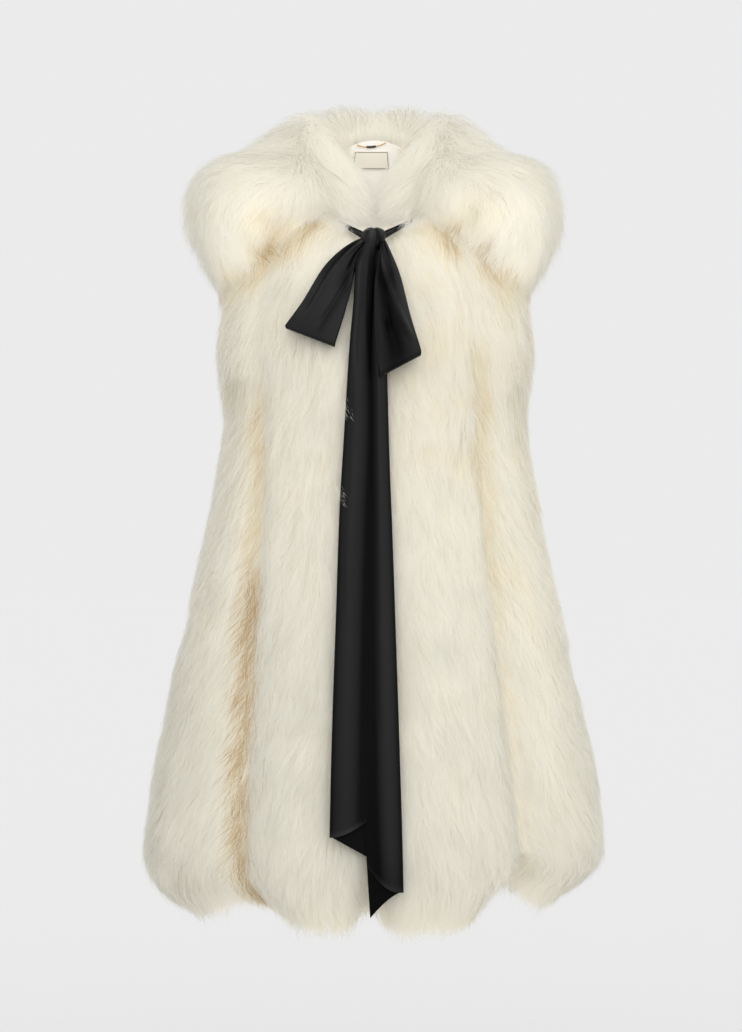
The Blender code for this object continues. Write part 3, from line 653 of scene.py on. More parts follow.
def inner_point(angle, drop, lift):
    """A place inside the cape, lift in from the lined skin."""
    return body_point(angle, drop, 0.0) - np.asarray(lift)[..., None] * body_normal(angle, drop, 0.0)


def level_drop(angle, z):
    """The drop at which the lined skin stands at z inside the back of the neck, found by stepping towards
    it."""
    angle, z = np.broadcast_arrays(angle, z)
    drop = np.full(angle.shape, LABEL_TOP_DROP)
    for _ in range(LEVEL_STEPS):
        drop = drop + STEP_SHARE * (body_point(angle, drop, 0.0)[..., 2] - z)
    return drop


def collar_place(round_share, spread_share, sign):
    """Angle and drop of a place under the collar."""
    lip = along(COLLAR_ROWS, "share", "lip_drop", np.minimum(round_share, 2.0 - round_share))
    front = COLLAR_FRONT_TOP_DEG + (COLLAR_FRONT_LIP_DEG - COLLAR_FRONT_TOP_DEG) * spread_share
    radius = np.linalg.norm(body_point(math.pi, lip * spread_share, 1.0)[..., :2], axis=-1)
    back = 180.0 - np.degrees(0.5 * SEAM_GAP / radius)
    angle = np.radians(front + (back - front) * round_share)
    return sign * angle, lip * spread_share


def collar_depth(round_share, spread_share):
    """Depth of the collar's fur: it climbs out of the neck to its crest, and is rounded off at the lip and at
    the front end."""
    depth = along(COLLAR_ROWS, "share", "depth", round_share)
    past = np.clip((spread_share - COLLAR_FULLEST) / (1.0 - COLLAR_FULLEST), 0.0, 1.0)
    least = 0.5 * LEAST_WALL * (1.0 - COLLAR_LIP_THINNING * past)
    inside = np.clip(along(COLLAR_ROWS, "share", "inside", round_share) / COLLAR_INSIDE_MOST, 0.0, 1.0)
    crest = COLLAR_CREST * (COLLAR_LEAST_CREST + (1.0 - COLLAR_LEAST_CREST) * inside)
    climb = np.clip((inside + spread_share) / (inside + crest), 0.0, 1.0)
    climb = climb ** along(COLLAR_ROWS, "share", "climb", round_share)
    end = 1.0 - np.clip(round_share / COLLAR_ROUND_END, 0.0, 1.0)
    lip = (1.0 - past) ** COLLAR_LIP_POWER
    return least + (depth - least) * climb * lip * np.sqrt(1.0 - end ** 2)


def collar_skin(spread_share):
    """Height of the collar's skin in the collar: it starts at the neck edge and rises into the fur."""
    return COLLAR_PELT_HEIGHT * ramp(spread_share, *COLLAR_PELT_RISE)


def collar_point(round_share, spread_share, height, sign):
    """A place in the collar, which bridges the body's valleys: up by a share of its depth, and the more
    upright the nearer it is to the back of the neck. A spread share below 0 is inside the neck, where the
    base runs in from the neck edge, mostly sideways, and falls a little."""
    round_share = np.maximum(round_share, 0.0)
    spread_share = np.clip(spread_share, -1.0, 1.0)
    inside = np.maximum(-spread_share, 0.0)
    outside = np.maximum(spread_share, 0.0)
    angle, drop = collar_place(round_share, outside, sign)
    round_share = np.minimum(round_share, 2.0 - round_share)
    base = body_point(angle, drop, 1.0, 0.0)
    normal = body_normal(angle, drop, 1.0, 0.0)
    near_neck = ramp(outside, COLLAR_STAND_SPREAD, 0.0)
    gap = REST_GAP + (SEAM_REST - REST_GAP) * near_neck
    stand = along(COLLAR_ROWS, "share", "stand", round_share) * near_neck + inside
    rise = unit(normal + stand[..., None] * UP)
    reach = height * collar_depth(round_share, spread_share)
    inward = unit(base * np.array((-1.0, -0.5, 0.0))) - COLLAR_INSIDE_FALL * inside[..., None] * UP
    into = along(COLLAR_ROWS, "share", "inside", round_share) * inside
    return base + gap[..., None] * normal + reach[..., None] * rise + into[..., None] * inward


def cell_random(cells, salt):
    """Random numbers from 0 to 1, one for each cell of a lattice: the same cell gives the same number."""
    mixed = np.sin(cells @ HASH_PACE + HASH_SALT * salt) * HASH_SCALE
    return mixed - np.floor(mixed)


def nearest_tuft(points, size, salt):
    """The tuft that each point belongs to: one tuft centre stands at a random place in each cell of a
    lattice, and the nearest centre wins. Gives the centre and its cell."""
    base = np.floor(points / size)
    nearest = np.full(len(points), np.inf)
    centre = np.zeros_like(points)
    owner = np.zeros_like(points)
    for step in np.ndindex(3, 3, 3):
        cell = base + np.array(step) - 1.0
        spot = (cell + np.stack([cell_random(cell, salt + k) for k in range(3)], axis=-1)) * size
        gap = ((points - spot) ** 2).sum(axis=-1)
        wins = (gap < nearest)[:, None]
        nearest = np.minimum(nearest, gap)
        centre = np.where(wins, spot, centre)
        owner = np.where(wins, cell, owner)
    return centre, owner


def waves(points, length, salt):
    """Smooth random swell, mostly from -1 to 1: sine waves of about that length in random directions."""
    rng = np.random.default_rng(salt)
    total = 0.0
    for _ in range(WAVE_COUNT):
        direction = unit(rng.normal(size=3))
        pace = 2.0 * math.pi / (length * rng.uniform(0.7, 1.5))
        total = total + np.sin(pace * (points @ direction) + rng.uniform(0.0, 2.0 * math.pi))
    return total / WAVE_LEVEL


def spread_roots(place, v_range, count, rng):
    """Roots spread evenly over a surface place(u, v): cells of a fine grid are drawn in turn by area."""
    rows, columns = 150, 50
    v = np.linspace(*v_range, rows + 1)[:, None]
    u = np.linspace(0.0, 1.0, columns + 1)[None, :]
    points = place(u, v)
    corner = points[:-1, :-1]
    area = np.linalg.norm(np.cross(points[1:, :-1] - corner, points[:-1, 1:] - corner), axis=-1)
    ends = np.cumsum(area.ravel())
    pick = (np.arange(count) + rng.random(count)) / count * ends[-1]
    cell = np.minimum(np.searchsorted(ends, pick), rows * columns - 1)
    row, column = np.divmod(cell, columns)
    step = (v_range[1] - v_range[0]) / rows
    return (column + rng.random(count)) / columns, v_range[0] + (row + rng.random(count)) * step


# Of each strand: heights of its root and tip, its length, the turn from straight down to the way it runs, how
# freely it runs on straight where the form turns away, and how much of it lies on past an end
Hair = namedtuple("Hair", "root tip length turn free past")
# Of a set of strands: their lines, the outward directions along them, their widths and tones
Strands = namedtuple("Strands", "lines out width tone")


def grow(place, u, v, ends, hair, coat, settings, rng):
    """Lines of hair through a wall place(u, v, height). Each runs from its root down v or aside by its turn,
    rises fast and then levels off at its tip height, closes in on its tuft and bows a little. Past the
    wall's ends, the least u, the least v and the most v, it lies on along the skin. Free ones run on
    straight and droop. Gives the lines and the outward directions along them."""
    step = 0.004
    root = place(u, v, hair.root)
    across = (place(u + step, v, hair.root) - place(u - step, v, hair.root)) / (2.0 * step)
    ahead = (place(u, v + step, hair.root) - place(u, v - step, hair.root)) / (2.0 * step)
    size_u = np.maximum(np.linalg.norm(across, axis=-1), 0.02)[:, None]
    size_v = np.maximum(np.linalg.norm(ahead, axis=-1), 0.02)[:, None]
    tuft_size = coat.tuft_scale * settings.tuft_size
    pull = nearest_tuft(root * coat.stretch, tuft_size, TUFT_SALT)[0] / coat.stretch - root
    aside_pull = np.clip((pull * unit(across)).sum(axis=-1), -tuft_size, tuft_size)[:, None]
    ahead_pull = np.clip((pull * unit(ahead)).sum(axis=-1), -tuft_size, tuft_size)[:, None]
    share = STRAND_SHARES[None, :]
    close = TUFT_CLOSING * share ** 1.5
    bow = (rng.normal(0.0, STRAND_BOW, len(u)) * hair.length)[:, None]
    reach = hair.length[:, None] * share
    aside = np.sin(hair.turn)[:, None] * reach + aside_pull * close + bow * share * (1.0 - share)
    forward = np.cos(hair.turn)[:, None] * reach + ahead_pull * close * TUFT_CLOSING_AHEAD
    line_u = u[:, None] + aside / size_u
    line_v = v[:, None] + forward / size_v
    least_u, least_v, most_v = ends
    past_u = np.maximum(least_u - line_u, 0.0) * size_u
    past_low = np.maximum(least_v - line_v, 0.0) * size_v
    past_high = np.maximum(line_v - most_v, 0.0) * size_v
    line_u = np.maximum(line_u, least_u)
    line_v = np.clip(line_v, least_v, most_v)
    risen = 1.0 - (1.0 - share) ** STRAND_RISE_POWER
    height = hair.root[:, None] + (hair.tip - hair.root)[:, None] * risen
    lines = place(line_u, line_v, height)
    turn = place(line_u + step, line_v, height) - place(line_u - step, line_v, height)
    inner_v = np.clip(line_v, least_v + 2.0 * step, most_v - 2.0 * step)
    fall = place(line_u, inner_v + step, height) - place(line_u, inner_v - step, height)
    out = unit(np.cross(fall, turn))
    higher = place(line_u, line_v, height + 0.05) - lines
    out = out * np.sign((out * higher).sum(axis=-1, keepdims=True))
    back = 0.03
    skin = place(line_u, line_v, 0.0)
    on_u = unit(skin - place(line_u + back, line_v, 0.0))
    on_low = unit(skin - place(line_u, line_v + back, 0.0))
    on_high = unit(skin - place(line_u, line_v - back, 0.0))
    lines = lines + hair.past[:, None, None] * (
        past_u[..., None] * on_u + past_low[..., None] * on_low + past_high[..., None] * on_high
    )
    heading = unit(lines[:, 1] - lines[:, 0])[:, None, :]
    rest = np.maximum(share - STRAND_SHARES[1], 0.0)[..., None]
    reach = FREE_REACH * hair.length[:, None, None]
    straight = lines[:, 1:2] + reach * (rest * heading - FREE_DROOP * rest ** 2 * UP)
    return lines + (hair.free[:, None, None] * rest / rest.max()) * (straight - lines), out


def new_object(name, points, quads, triangles=None, uv=None, normals=None, uv_name="cloth", gloss=None):
    """A mesh object from arrays: four-sided faces first, then triangles, with one uv place, normal and value
    of painted light and shade a point."""
    triangles = np.zeros((0, 3), int) if triangles is None else triangles
    mesh = bpy.data.meshes.new(name)
    mesh.vertices.add(len(points))
    mesh.vertices.foreach_set("co", np.asarray(points, np.float32).ravel())
    corners = np.concatenate([quads.ravel(), triangles.ravel()]).astype(np.int32)
    mesh.loops.add(len(corners))
    mesh.loops.foreach_set("vertex_index", corners)
    mesh.polygons.add(len(quads) + len(triangles))
    starts = np.concatenate([4 * np.arange(len(quads)), 4 * len(quads) + 3 * np.arange(len(triangles))])
    mesh.polygons.foreach_set("loop_start", starts.astype(np.int32))
    mesh.polygons.foreach_set("use_smooth", np.ones(len(starts), bool))
    if uv is not None:
        layer = mesh.uv_layers.new(name=uv_name)
        layer.uv.foreach_set("vector", np.asarray(uv, np.float32)[corners].ravel())
    mesh.update(calc_edges=True)
    if normals is not None:
        free = mesh.attributes.new("custom_normal", "FLOAT_VECTOR", "POINT")
        free.data.foreach_set("vector", np.asarray(normals, np.float32).ravel())
    # the value of painted light and shade at each point, for the silk
    if gloss is not None:
        level = mesh.attributes.new("gloss", "FLOAT", "POINT")
        level.data.foreach_set("value", np.asarray(gloss, np.float32).ravel())
    obj = bpy.data.objects.new(name, mesh)
    bpy.context.scene.collection.objects.link(obj)
    return obj


def strands_object(name, groups, rng):
    """Flat tapering strands joined into one mesh: two points at each place of a line and one at its tip.
    Each strand is rolled a little about its line, and shaded mostly as the form that it lies on. The
    map's first number is the strand's tone and its second the share from root to tip. The strands cast no
    shadow, so the light passes between them as it does through hair far finer than they are."""
    lines, out, width, tone = (np.concatenate(parts) for parts in zip(*groups))
    count = len(lines)
    forward = np.gradient(lines, axis=1)
    roll = rng.normal(0.0, STRAND_ROLL, count)[:, None, None]
    side = unit(np.cross(forward, out))
    side = unit(side * np.cos(roll) + unit(np.cross(side, forward)) * np.sin(roll))
    half = 0.5 * width[:, None, None] * STRAND_WIDTHS[None, :, None] * side[:, :2]
    body = np.stack([lines[:, :2] - half, lines[:, :2] + half], axis=2).reshape(count, 4, 3)
    points = np.concatenate([body, lines[:, 2:]], axis=1).reshape(-1, 3)
    start = 5 * np.arange(count)[:, None]
    flat = unit(np.cross(forward, side))
    flat = flat * np.sign((flat * out).sum(axis=-1, keepdims=True))
    chance = rng.normal(0.0, SHADE_CHANCE, (count, 1, 3))
    shade = unit(FORM_SHADE * out + (1.0 - FORM_SHADE) * flat + chance)
    normals = np.concatenate([np.repeat(shade[:, :2], 2, axis=1), shade[:, 2:]], axis=1).reshape(-1, 3)
    share = np.concatenate([np.repeat(STRAND_SHARES[:2], 2), STRAND_SHARES[2:]])
    half_tone = HALF_TONE * np.array((-1.0, 1.0, -1.0, 1.0, 0.0))
    u = np.clip(tone, 0.02, 0.98)[:, None] + half_tone[None, :]
    v = np.broadcast_to(0.01 + 0.98 * share, u.shape)
    uv = np.stack([u, v], axis=-1).reshape(-1, 2)
    made = new_object(name, points, start + (0, 1, 3, 2), start + (2, 3, 4), uv, normals, "OFBake")
    made.visible_shadow = False
    return made


def grid_quads(rows, columns, start=0):
    """Four-sided faces between neighbouring points of a grid that is stored row by row."""
    first = (np.arange(rows - 1)[:, None] * columns + np.arange(columns - 1)[None, :]).ravel()[:, None]
    return start + first + np.array((0, columns, columns + 1, 1))


def wall_object(name, outer, inner, size, gloss=None):
    """A closed wall between two grids of the same size, joined round all four edges. Its map runs over the
    cloth in metres: size is the cloth's width and length."""
    rows, columns = outer.shape[:2]
    count = rows * columns
    index = np.arange(count).reshape(rows, columns)
    edge = np.concatenate([index[0], index[1:, -1], index[-1, -2::-1], index[-2:0:-1, 0]])
    after = np.roll(edge, -1)
    rim = np.stack([edge, after, after + count, edge + count], axis=-1)
    face = grid_quads(rows, columns)
    quads = np.concatenate([face, face[:, ::-1] + count, rim])
    cloth_u = np.broadcast_to(np.linspace(0.0, size[0], columns)[None, :], (rows, columns))
    cloth_v = np.broadcast_to(np.linspace(0.0, size[1], rows)[:, None], (rows, columns))
    uv = np.tile(np.stack([cloth_u, cloth_v], axis=-1).reshape(-1, 2), (2, 1))
    gloss = None if gloss is None else np.tile(gloss.ravel(), 2)
    points = np.concatenate([outer.reshape(-1, 3), inner.reshape(-1, 3)])
    obj = new_object(name, points, quads, uv=uv, gloss=gloss)
    obj.data.set_sharp_from_angle(angle=math.radians(55.0))
    return obj


def sheet_normals(sheet):
    """The direction square to a grid of points at each of its points."""
    return unit(np.cross(np.gradient(sheet, axis=0), np.gradient(sheet, axis=1)))


def sheet_object(name, sheet, thickness, size, gloss=None):
    """A closed wall of even thickness round a grid of points that is its middle."""
    offset = 0.5 * thickness * sheet_normals(sheet)
    return wall_object(name, sheet + offset, sheet - offset, size, gloss)


def add_node(tree, kind, values=None, links=None):
    """Adds a node: values go to its sockets or properties by name, stops to its colour ramp, and links join
    its sockets to (node, output) pairs."""
    made = tree.nodes.new(kind)
    for key, value in (values or {}).items():
        if key == "stops":
            elements = made.color_ramp.elements
            while len(elements) < len(value):
                elements.new(1.0)
            for element, (position, colour) in zip(elements, value):
                element.position = position
                element.color = (*colour, 1.0)
        elif isinstance(key, int) or key in made.inputs:
            socket = made.inputs[key]
            socket.default_value = (*value, 1.0) if socket.type == "RGBA" else value
        else:
            setattr(made, key, value)
    for key, (source, output) in (links or {}).items():
        tree.links.new(source.outputs[output], made.inputs[key])
    return made


def new_material(name, nodes, *values):
    """The material of that name. The first time it is asked for, the function nodes fills its tree and gives
    its shader."""
    made = bpy.data.materials.get(name)
    if made is None:
        made = bpy.data.materials.new(name)
        made.use_nodes = True
        tree = made.node_tree
        tree.nodes.clear()
        add_node(tree, "ShaderNodeOutputMaterial", links={"Surface": (nodes(tree, *values), 0)})
    return made


def shaded(colour, share):
    return tuple(share * value for value in colour)


def wave_scale(width):
    """The scale of a wave texture whose bands are of that width in metres."""
    return 1.0 / (width * 2.0 * math.pi)


def fur_nodes(tree, settings):
    """Long soft hair: cream tips, deeper roots, greyer and warmer tufts. Matt, and half of the light that
    falls on a hair goes on through it. Its tone also carries painted shade: down to the grey, and up to a
    dark crease colour."""
    place = add_node(tree, "ShaderNodeUVMap", {"uv_map": "OFBake"})
    parts = add_node(tree, "ShaderNodeSeparateXYZ", links={"Vector": (place, "UV")})
    tips = add_node(
        tree, "ShaderNodeValToRGB",
        {"stops": ((0.0, settings.cool_colour), (0.35, settings.tip_colour), (0.65, settings.warm_colour),
                   (1.0, settings.crease_shade_colour))},
        {"Fac": (parts, "X")},
    )
    reach = add_node(
        tree, "ShaderNodeMapRange", {"From Min": 0.0, "From Max": 0.6, "interpolation_type": "SMOOTHSTEP"},
        {"Value": (parts, "Y")},
    )
    colour = add_node(
        tree, "ShaderNodeMix", {"data_type": "RGBA", 6: settings.root_colour},
        {0: (reach, "Result"), 7: (tips, "Color")},
    )
    shader = add_node(
        tree, "ShaderNodeBsdfPrincipled", {"Roughness": 0.8, "Specular IOR Level": 0.1},
        {"Base Color": (colour, 2)},
    )
    through = add_node(tree, "ShaderNodeBsdfTranslucent", links={"Color": (colour, 2)})
    return add_node(tree, "ShaderNodeMixShader", {0: 0.5}, {1: (shader, "BSDF"), 2: (through, "BSDF")})


def undercoat_nodes(tree, settings):
    """Felted down on the skin: matt and mottled, yellower than the tips. The mottling is 9 mm across."""
    place = add_node(tree, "ShaderNodeTexCoord")
    mottle = add_node(
        tree, "ShaderNodeTexNoise", {"Scale": 1.0 / 0.009, "Detail": 3.0, "Roughness": 0.6},
        {"Vector": (place, "Object")},
    )
    root = tuple(settings.root_colour)
    colour = add_node(
        tree, "ShaderNodeValToRGB", {"stops": ((0.3, shaded(root, 0.92)), (0.7, root))},
        {"Fac": (mottle, "Fac")},
    )
    bump = add_node(tree, "ShaderNodeBump", {"Strength": 0.6, "Distance": 0.003}, {"Height": (mottle, "Fac")})
    return add_node(
        tree, "ShaderNodeBsdfPrincipled", {"Roughness": 0.9, "Specular IOR Level": 0.1},
        {"Base Color": (colour, "Color"), "Normal": (bump, "Normal")},
    )


def cloth_nodes(tree, colour, shade, roughness, thread, sheen, specular, painted_fold_light=False):
    """Woven cloth: fine ribs across its map, a change of tone over about 30 mm, and a soft gloss. Thread is
    the rib's width in metres, drawn coarser than the real thread so that it shows. With painted fold light, a
    value painted at each point sets its tone and shine: painted sheen where the folds would catch the light
    and painted shade in them."""
    place = add_node(tree, "ShaderNodeUVMap", {"uv_map": "cloth"})
    ribs = add_node(
        tree, "ShaderNodeTexWave",
        {"bands_direction": "DIAGONAL", "Scale": wave_scale(thread), "Distortion": 0.6, "Detail": 1.0},
        {"Vector": (place, "UV")},
    )
    cloud = add_node(
        tree, "ShaderNodeTexNoise", {"Scale": 1.0 / 0.03, "Detail": 2.0}, {"Vector": (place, "UV")}
    )
    blend = add_node(
        tree, "ShaderNodeMapRange", {"From Min": 0.35, "From Max": 0.65}, {"Value": (cloud, "Fac")}
    )
    shine = {}
    if painted_fold_light:
        # painted light and shade: the value painted at each point mixes the lit and the shaded colour and
        # sets the shine
        folds = add_node(tree, "ShaderNodeAttribute", {"attribute_name": "gloss"})
        blend = add_node(tree, "ShaderNodeMapRange", links={"Value": (folds, "Fac")})
        level = add_node(
            tree, "ShaderNodeMapRange", {"To Min": 0.2 * specular, "To Max": 1.8 * specular},
            {"Value": (folds, "Fac")},
        )
        shine = {"Specular IOR Level": (level, "Result")}
    tint = add_node(tree, "ShaderNodeMix", {"data_type": "RGBA", 6: shade, 7: colour}, {0: (blend, "Result")})
    gloss = add_node(
        tree, "ShaderNodeMapRange", {"To Min": roughness - 0.05, "To Max": roughness + 0.06},
        {"Value": (cloud, "Fac")},
    )
    bump = add_node(tree, "ShaderNodeBump", {"Strength": 0.12, "Distance": 0.0003}, {"Height": (ribs, "Fac")})
    return add_node(
        tree, "ShaderNodeBsdfPrincipled",
        {"Sheen Weight": sheen, "Sheen Roughness": 0.35, "Specular IOR Level": specular},
        {"Base Color": (tint, 2), "Roughness": (gloss, "Result"), "Normal": (bump, "Normal"), **shine},
    )


def satin_nodes(tree, settings):
    """Ivory satin: smooth, with a pearly gloss."""
    colour = tuple(settings.lining_colour)
    return cloth_nodes(tree, colour, shaded(colour, 0.94), 0.42, 0.0012, 0.2, 0.4)


def silk_nodes(tree, settings):
    """Black silk with painted light: painted shade, deep black, in its folds, and a painted sheen, soft grey,
    where they would catch the light.
    """
    colour = tuple(settings.colour)
    # a lit and a shaded copy of the silk's colour, for the painted sheen and the painted shade
    lit, deep = shaded(colour, 1.6), shaded(colour, 0.4)
    return cloth_nodes(tree, lit, deep, settings.roughness, 0.0011, 0.0, 0.15, painted_fold_light=True)


def label_nodes(tree, settings):
    """Woven cream label with a thin dark line just inside its edge and ribs 0.9 mm wide, coarser than the
    real ones so that they show."""
    place = add_node(tree, "ShaderNodeUVMap", {"uv_map": "cloth"})
    parts = add_node(tree, "ShaderNodeSeparateXYZ", links={"Vector": (place, "UV")})
    edges = []
    for axis, size in (("X", LABEL_WIDTH), ("Y", LABEL_HEIGHT)):
        half = 0.5 * size
        middle = add_node(tree, "ShaderNodeMath", {"operation": "SUBTRACT", 1: half}, {0: (parts, axis)})
        away = add_node(tree, "ShaderNodeMath", {"operation": "ABSOLUTE"}, {0: (middle, "Value")})
        edge = add_node(tree, "ShaderNodeMath", {"operation": "SUBTRACT", 0: half}, {1: (away, "Value")})
        edges.append((edge, "Value"))
    edge = add_node(tree, "ShaderNodeMath", {"operation": "MINIMUM"}, dict(enumerate(edges)))
    line = add_node(
        tree, "ShaderNodeMath", {"operation": "COMPARE", 1: 0.0014, 2: 0.00045}, {0: (edge, "Value")}
    )
    ribs = add_node(
        tree, "ShaderNodeTexWave", {"bands_direction": "Y", "Scale": wave_scale(0.0009)},
        {"Vector": (place, "UV")},
    )
    colour = add_node(
        tree, "ShaderNodeMix",
        {"data_type": "RGBA", 6: settings.label_colour, 7: settings.border_colour}, {0: (line, "Value")},
    )
    bump = add_node(tree, "ShaderNodeBump", {"Strength": 0.3, "Distance": 0.0003}, {"Height": (ribs, "Fac")})
    return add_node(
        tree, "ShaderNodeBsdfPrincipled", {"Roughness": 0.7, "Specular IOR Level": 0.3},
        {"Base Color": (colour, 2), "Normal": (bump, "Normal")},
    )


def gilt_nodes(tree, settings):
    """Gilded brass: polished, a little duller where it rubs. The rubbing is 1.5 mm across."""
    place = add_node(tree, "ShaderNodeTexCoord")
    rub = add_node(tree, "ShaderNodeTexNoise", {"Scale": 1.0 / 0.0015}, {"Vector": (place, "Object")})
    gloss = add_node(tree, "ShaderNodeMapRange", {"To Min": 0.18, "To Max": 0.36}, {"Value": (rub, "Fac")})
    return add_node(
        tree, "ShaderNodeBsdfPrincipled", {"Base Color": tuple(settings.gilt_colour), "Metallic": 1.0},
        {"Roughness": (gloss, "Result")},
    )


def sleeve_nodes(tree, settings):
    """Black leather: fine grain 0.6 mm across and a dull gloss."""
    place = add_node(tree, "ShaderNodeTexCoord")
    grain = add_node(tree, "ShaderNodeTexVoronoi", {"Scale": 1.0 / 0.0006}, {"Vector": (place, "Object")})
    bump = add_node(
        tree, "ShaderNodeBump", {"Strength": 0.4, "Distance": 0.0002}, {"Height": (grain, "Distance")}
    )
    return add_node(
        tree, "ShaderNodeBsdfPrincipled",
        {"Base Color": tuple(settings.sleeve_colour), "Roughness": 0.5, "Specular IOR Level": 0.4},
        {"Normal": (bump, "Normal")},
    )


def floor_nodes(tree, settings):
    """Matt studio paper: pale and even, with no gloss."""
    return add_node(
        tree, "ShaderNodeBsdfPrincipled",
        {"Base Color": tuple(settings.floor_colour), "Roughness": 1.0, "Specular IOR Level": 0.0},
    )


def dress(obj, slot, material, *nodes):
    """Gives a piece its material, ties it to the body and hides the solids that it stands for."""
    obj.data.materials.append(material)
    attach(obj, "root")
    if nodes:
        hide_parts(*nodes)
    return obj


def seam_turn(angle, drop):
    """The angle that half a seam's gap takes up at the skin, where the panel edges are nearest."""
    radius = np.linalg.norm(body_point(angle, drop, 0.0)[..., :2], axis=-1)
    return 0.5 * SEAM_GAP / radius


def edge_angle(edge, side, drop):
    """The angle of a panel's edge at each drop: a named valley, the front opening or a side seam."""
    drop = np.asarray(drop, float)
    if edge == "opening":
        radius = np.linalg.norm(body_point(0.0, drop, 0.0)[..., :2], axis=-1)
        return side * np.arcsin(0.5 * FRONT_OPENING / radius)
    if isinstance(edge, float):
        centre = np.full(drop.shape, math.radians(edge))
    else:
        fold = next(row for row in FOLDS if row.name == edge)
        centre = np.radians(fold.top_deg + (fold.hem_deg - fold.top_deg) * fold_fall(drop))
    return centre + side * seam_turn(centre, drop)


PANEL_EDGES = {
    "front_r": (("right groove", 1.0), ("opening", -1.0)),
    "front_l": (("opening", 1.0), ("left groove", -1.0)),
    "side_r": ((-SIDE_SEAM_DEG, 1.0), ("right groove", -1.0)),
    "side_l": (("left groove", 1.0), (SIDE_SEAM_DEG, -1.0)),
    "back": ((SIDE_SEAM_DEG, 1.0), (360.0 - SIDE_SEAM_DEG, -1.0)),
}


def panel_angle(name, share, drop):
    """The angle at a share of the way across a panel."""
    start, end = (edge_angle(edge, side, drop) for edge, side in PANEL_EDGES[name])
    return start * (1.0 - share) + end * share


def lap_shape(angle, drop):
    """What the laps do to the fur at each place: how much lower it lies just below a lap, easing back to
    nothing further down, how far the hair above a lap may run before it ends, a little past the lap, and how
    much painted shadow the lap puts on the fur right below it."""
    low = 0.0
    shade = 0.0
    room = np.full(np.shape(drop), 1.0)
    for lap in LAPS:
        away = turn_between(angle, math.radians(lap.angle_deg)) / math.radians(lap.spread_deg)
        near = np.exp(-away ** 4)
        below = drop - lap.drop
        ease = np.where(below > 0.0, np.clip(1.0 - below / LAP_RECOVERY, 0.0, 1.0) ** 1.5, 0.0)
        low = low + lap.depth * near * ease
        shade = shade + lap.depth * near * np.exp(-((below - LAP_OVERHANG) / LAP_SHADE) ** 2)
        above = np.where(below <= 0.0, LAP_OVERHANG - below, 1.0)
        room = np.minimum(room, above + 0.3 * (1.0 - near) / np.maximum(near, 0.01))
    return low, room, shade


def streak_warmth_and_shade(angle, drop):
    """How much warmer and darker the fur is near the streaks, painted shade with warmer roots: a bell across
    each line, fading past its ends.
    """
    tint = 0.0
    radius = ring_value("half_width", drop)
    for row in STREAKS:
        on = (drop - row.drop_0) / (row.drop_1 - row.drop_0)
        centre = np.radians(row.deg_0 + (row.deg_1 - row.deg_0) * np.clip(on, 0.0, 1.0))
        away = turn_between(angle, centre) * radius / row.width
        tint = tint + row.tint * np.exp(-away ** 2) * within_ends(on, 0.1)
    return tint


def stray_strands(stray, settings, rng):
    """A stray tuft over the silk: it rises off the fur and runs over the silk's edge."""
    count = stray.strands
    share = STRAND_SHARES[None, :]
    pace = rng.uniform(*PACE_RANGE, (count, 1))
    run = (stray.run_x + rng.normal(0.0, 0.004, (count, 1))) * pace
    x = stray.x + rng.normal(0.0, stray.spread_x, (count, 1)) + run * share
    z = stray.z + rng.normal(0.0, stray.spread_z, (count, 1)) + stray.run_z * pace * share
    lift = stray.lift * rng.uniform(0.6, 1.1, (count, 1)) * share ** 0.7 - STRAY_SINK
    lines = front_point(x, z, lift)
    out = np.broadcast_to(unit(np.array((0.0, -1.0, 0.2))), lines.shape)
    tone = STRAY_TONE + rng.normal(0.0, 0.05, count)
    return Strands(lines, out, settings.strand_width * rng.uniform(0.5, 0.9, count), tone)


def beyond_collar(angle, drop):
    """Distance from a place on the body to the edge of the collar over it, less than 0 under the collar."""
    turn = np.abs(turn_between(angle, 0.0))
    reach = np.clip((np.degrees(turn) - COLLAR_FRONT_LIP_DEG) / (180.0 - COLLAR_FRONT_LIP_DEG), 0.0, 1.0)
    lip = along(COLLAR_ROWS, "share", "lip_drop", reach)
    front = np.radians(
        COLLAR_FRONT_TOP_DEG + (COLLAR_FRONT_LIP_DEG - COLLAR_FRONT_TOP_DEG) * np.clip(drop / lip, 0.0, 1.0)
    )
    radius = ring_value("half_width", drop)
    return np.maximum(drop - lip, (front - turn) * radius)


def bright_under(out, least):
    """Normals that hardly look down: the light that comes through the hair keeps its undersides bright."""
    return unit(np.concatenate((out[..., :2], np.maximum(out[..., 2:], least)), axis=-1))


def body_lean(angle):
    """How far the hair leans back round the body for each length that it runs down."""
    turn = turn_between(angle, 0.0)
    away = np.abs(np.degrees(turn))
    most = np.where(turn < 0.0, LEAN_RIGHT, LEAN_LEFT)
    lean = LEAN_LEAST + most * np.exp(-((away - LEAN_MOST_DEG) / LEAN_SPREAD_DEG) ** 2)
    return np.sign(turn) * lean * np.clip((180.0 - away) / LEAN_BACK_DEG, 0.0, 1.0)


def tuft_traits(coat, points, settings):
    """Three random numbers from 0 to 1 for the tuft that each point is in: for its tone, its tip and its
    lean."""
    owner = nearest_tuft(points * coat.stretch, coat.tuft_scale * settings.tuft_size, TUFT_SALT)[1]
    return (cell_random(owner, salt) for salt in TRAIT_SALTS)


def tip_heights(coat, points, tuft_tip, rng):
    """Heights of the tips: the coat's own, with what the tuft, a slow swell and chance add."""
    swell = TIP_SWELL * waves(points, coat.tip_length, coat.salt + 1)
    return coat.tip + coat.tip_tuft * (tuft_tip - 0.5) + swell + rng.normal(0.0, coat.tip_chance, len(points))


def strand_leans(coat, points, tuft_lean):
    """How far the strands lean aside with their tuft and with a slow swell."""
    swell = coat.lean_swell * waves(points, coat.lean_length, coat.salt + 2)
    return swell + coat.lean_tuft * (tuft_lean - 0.5)


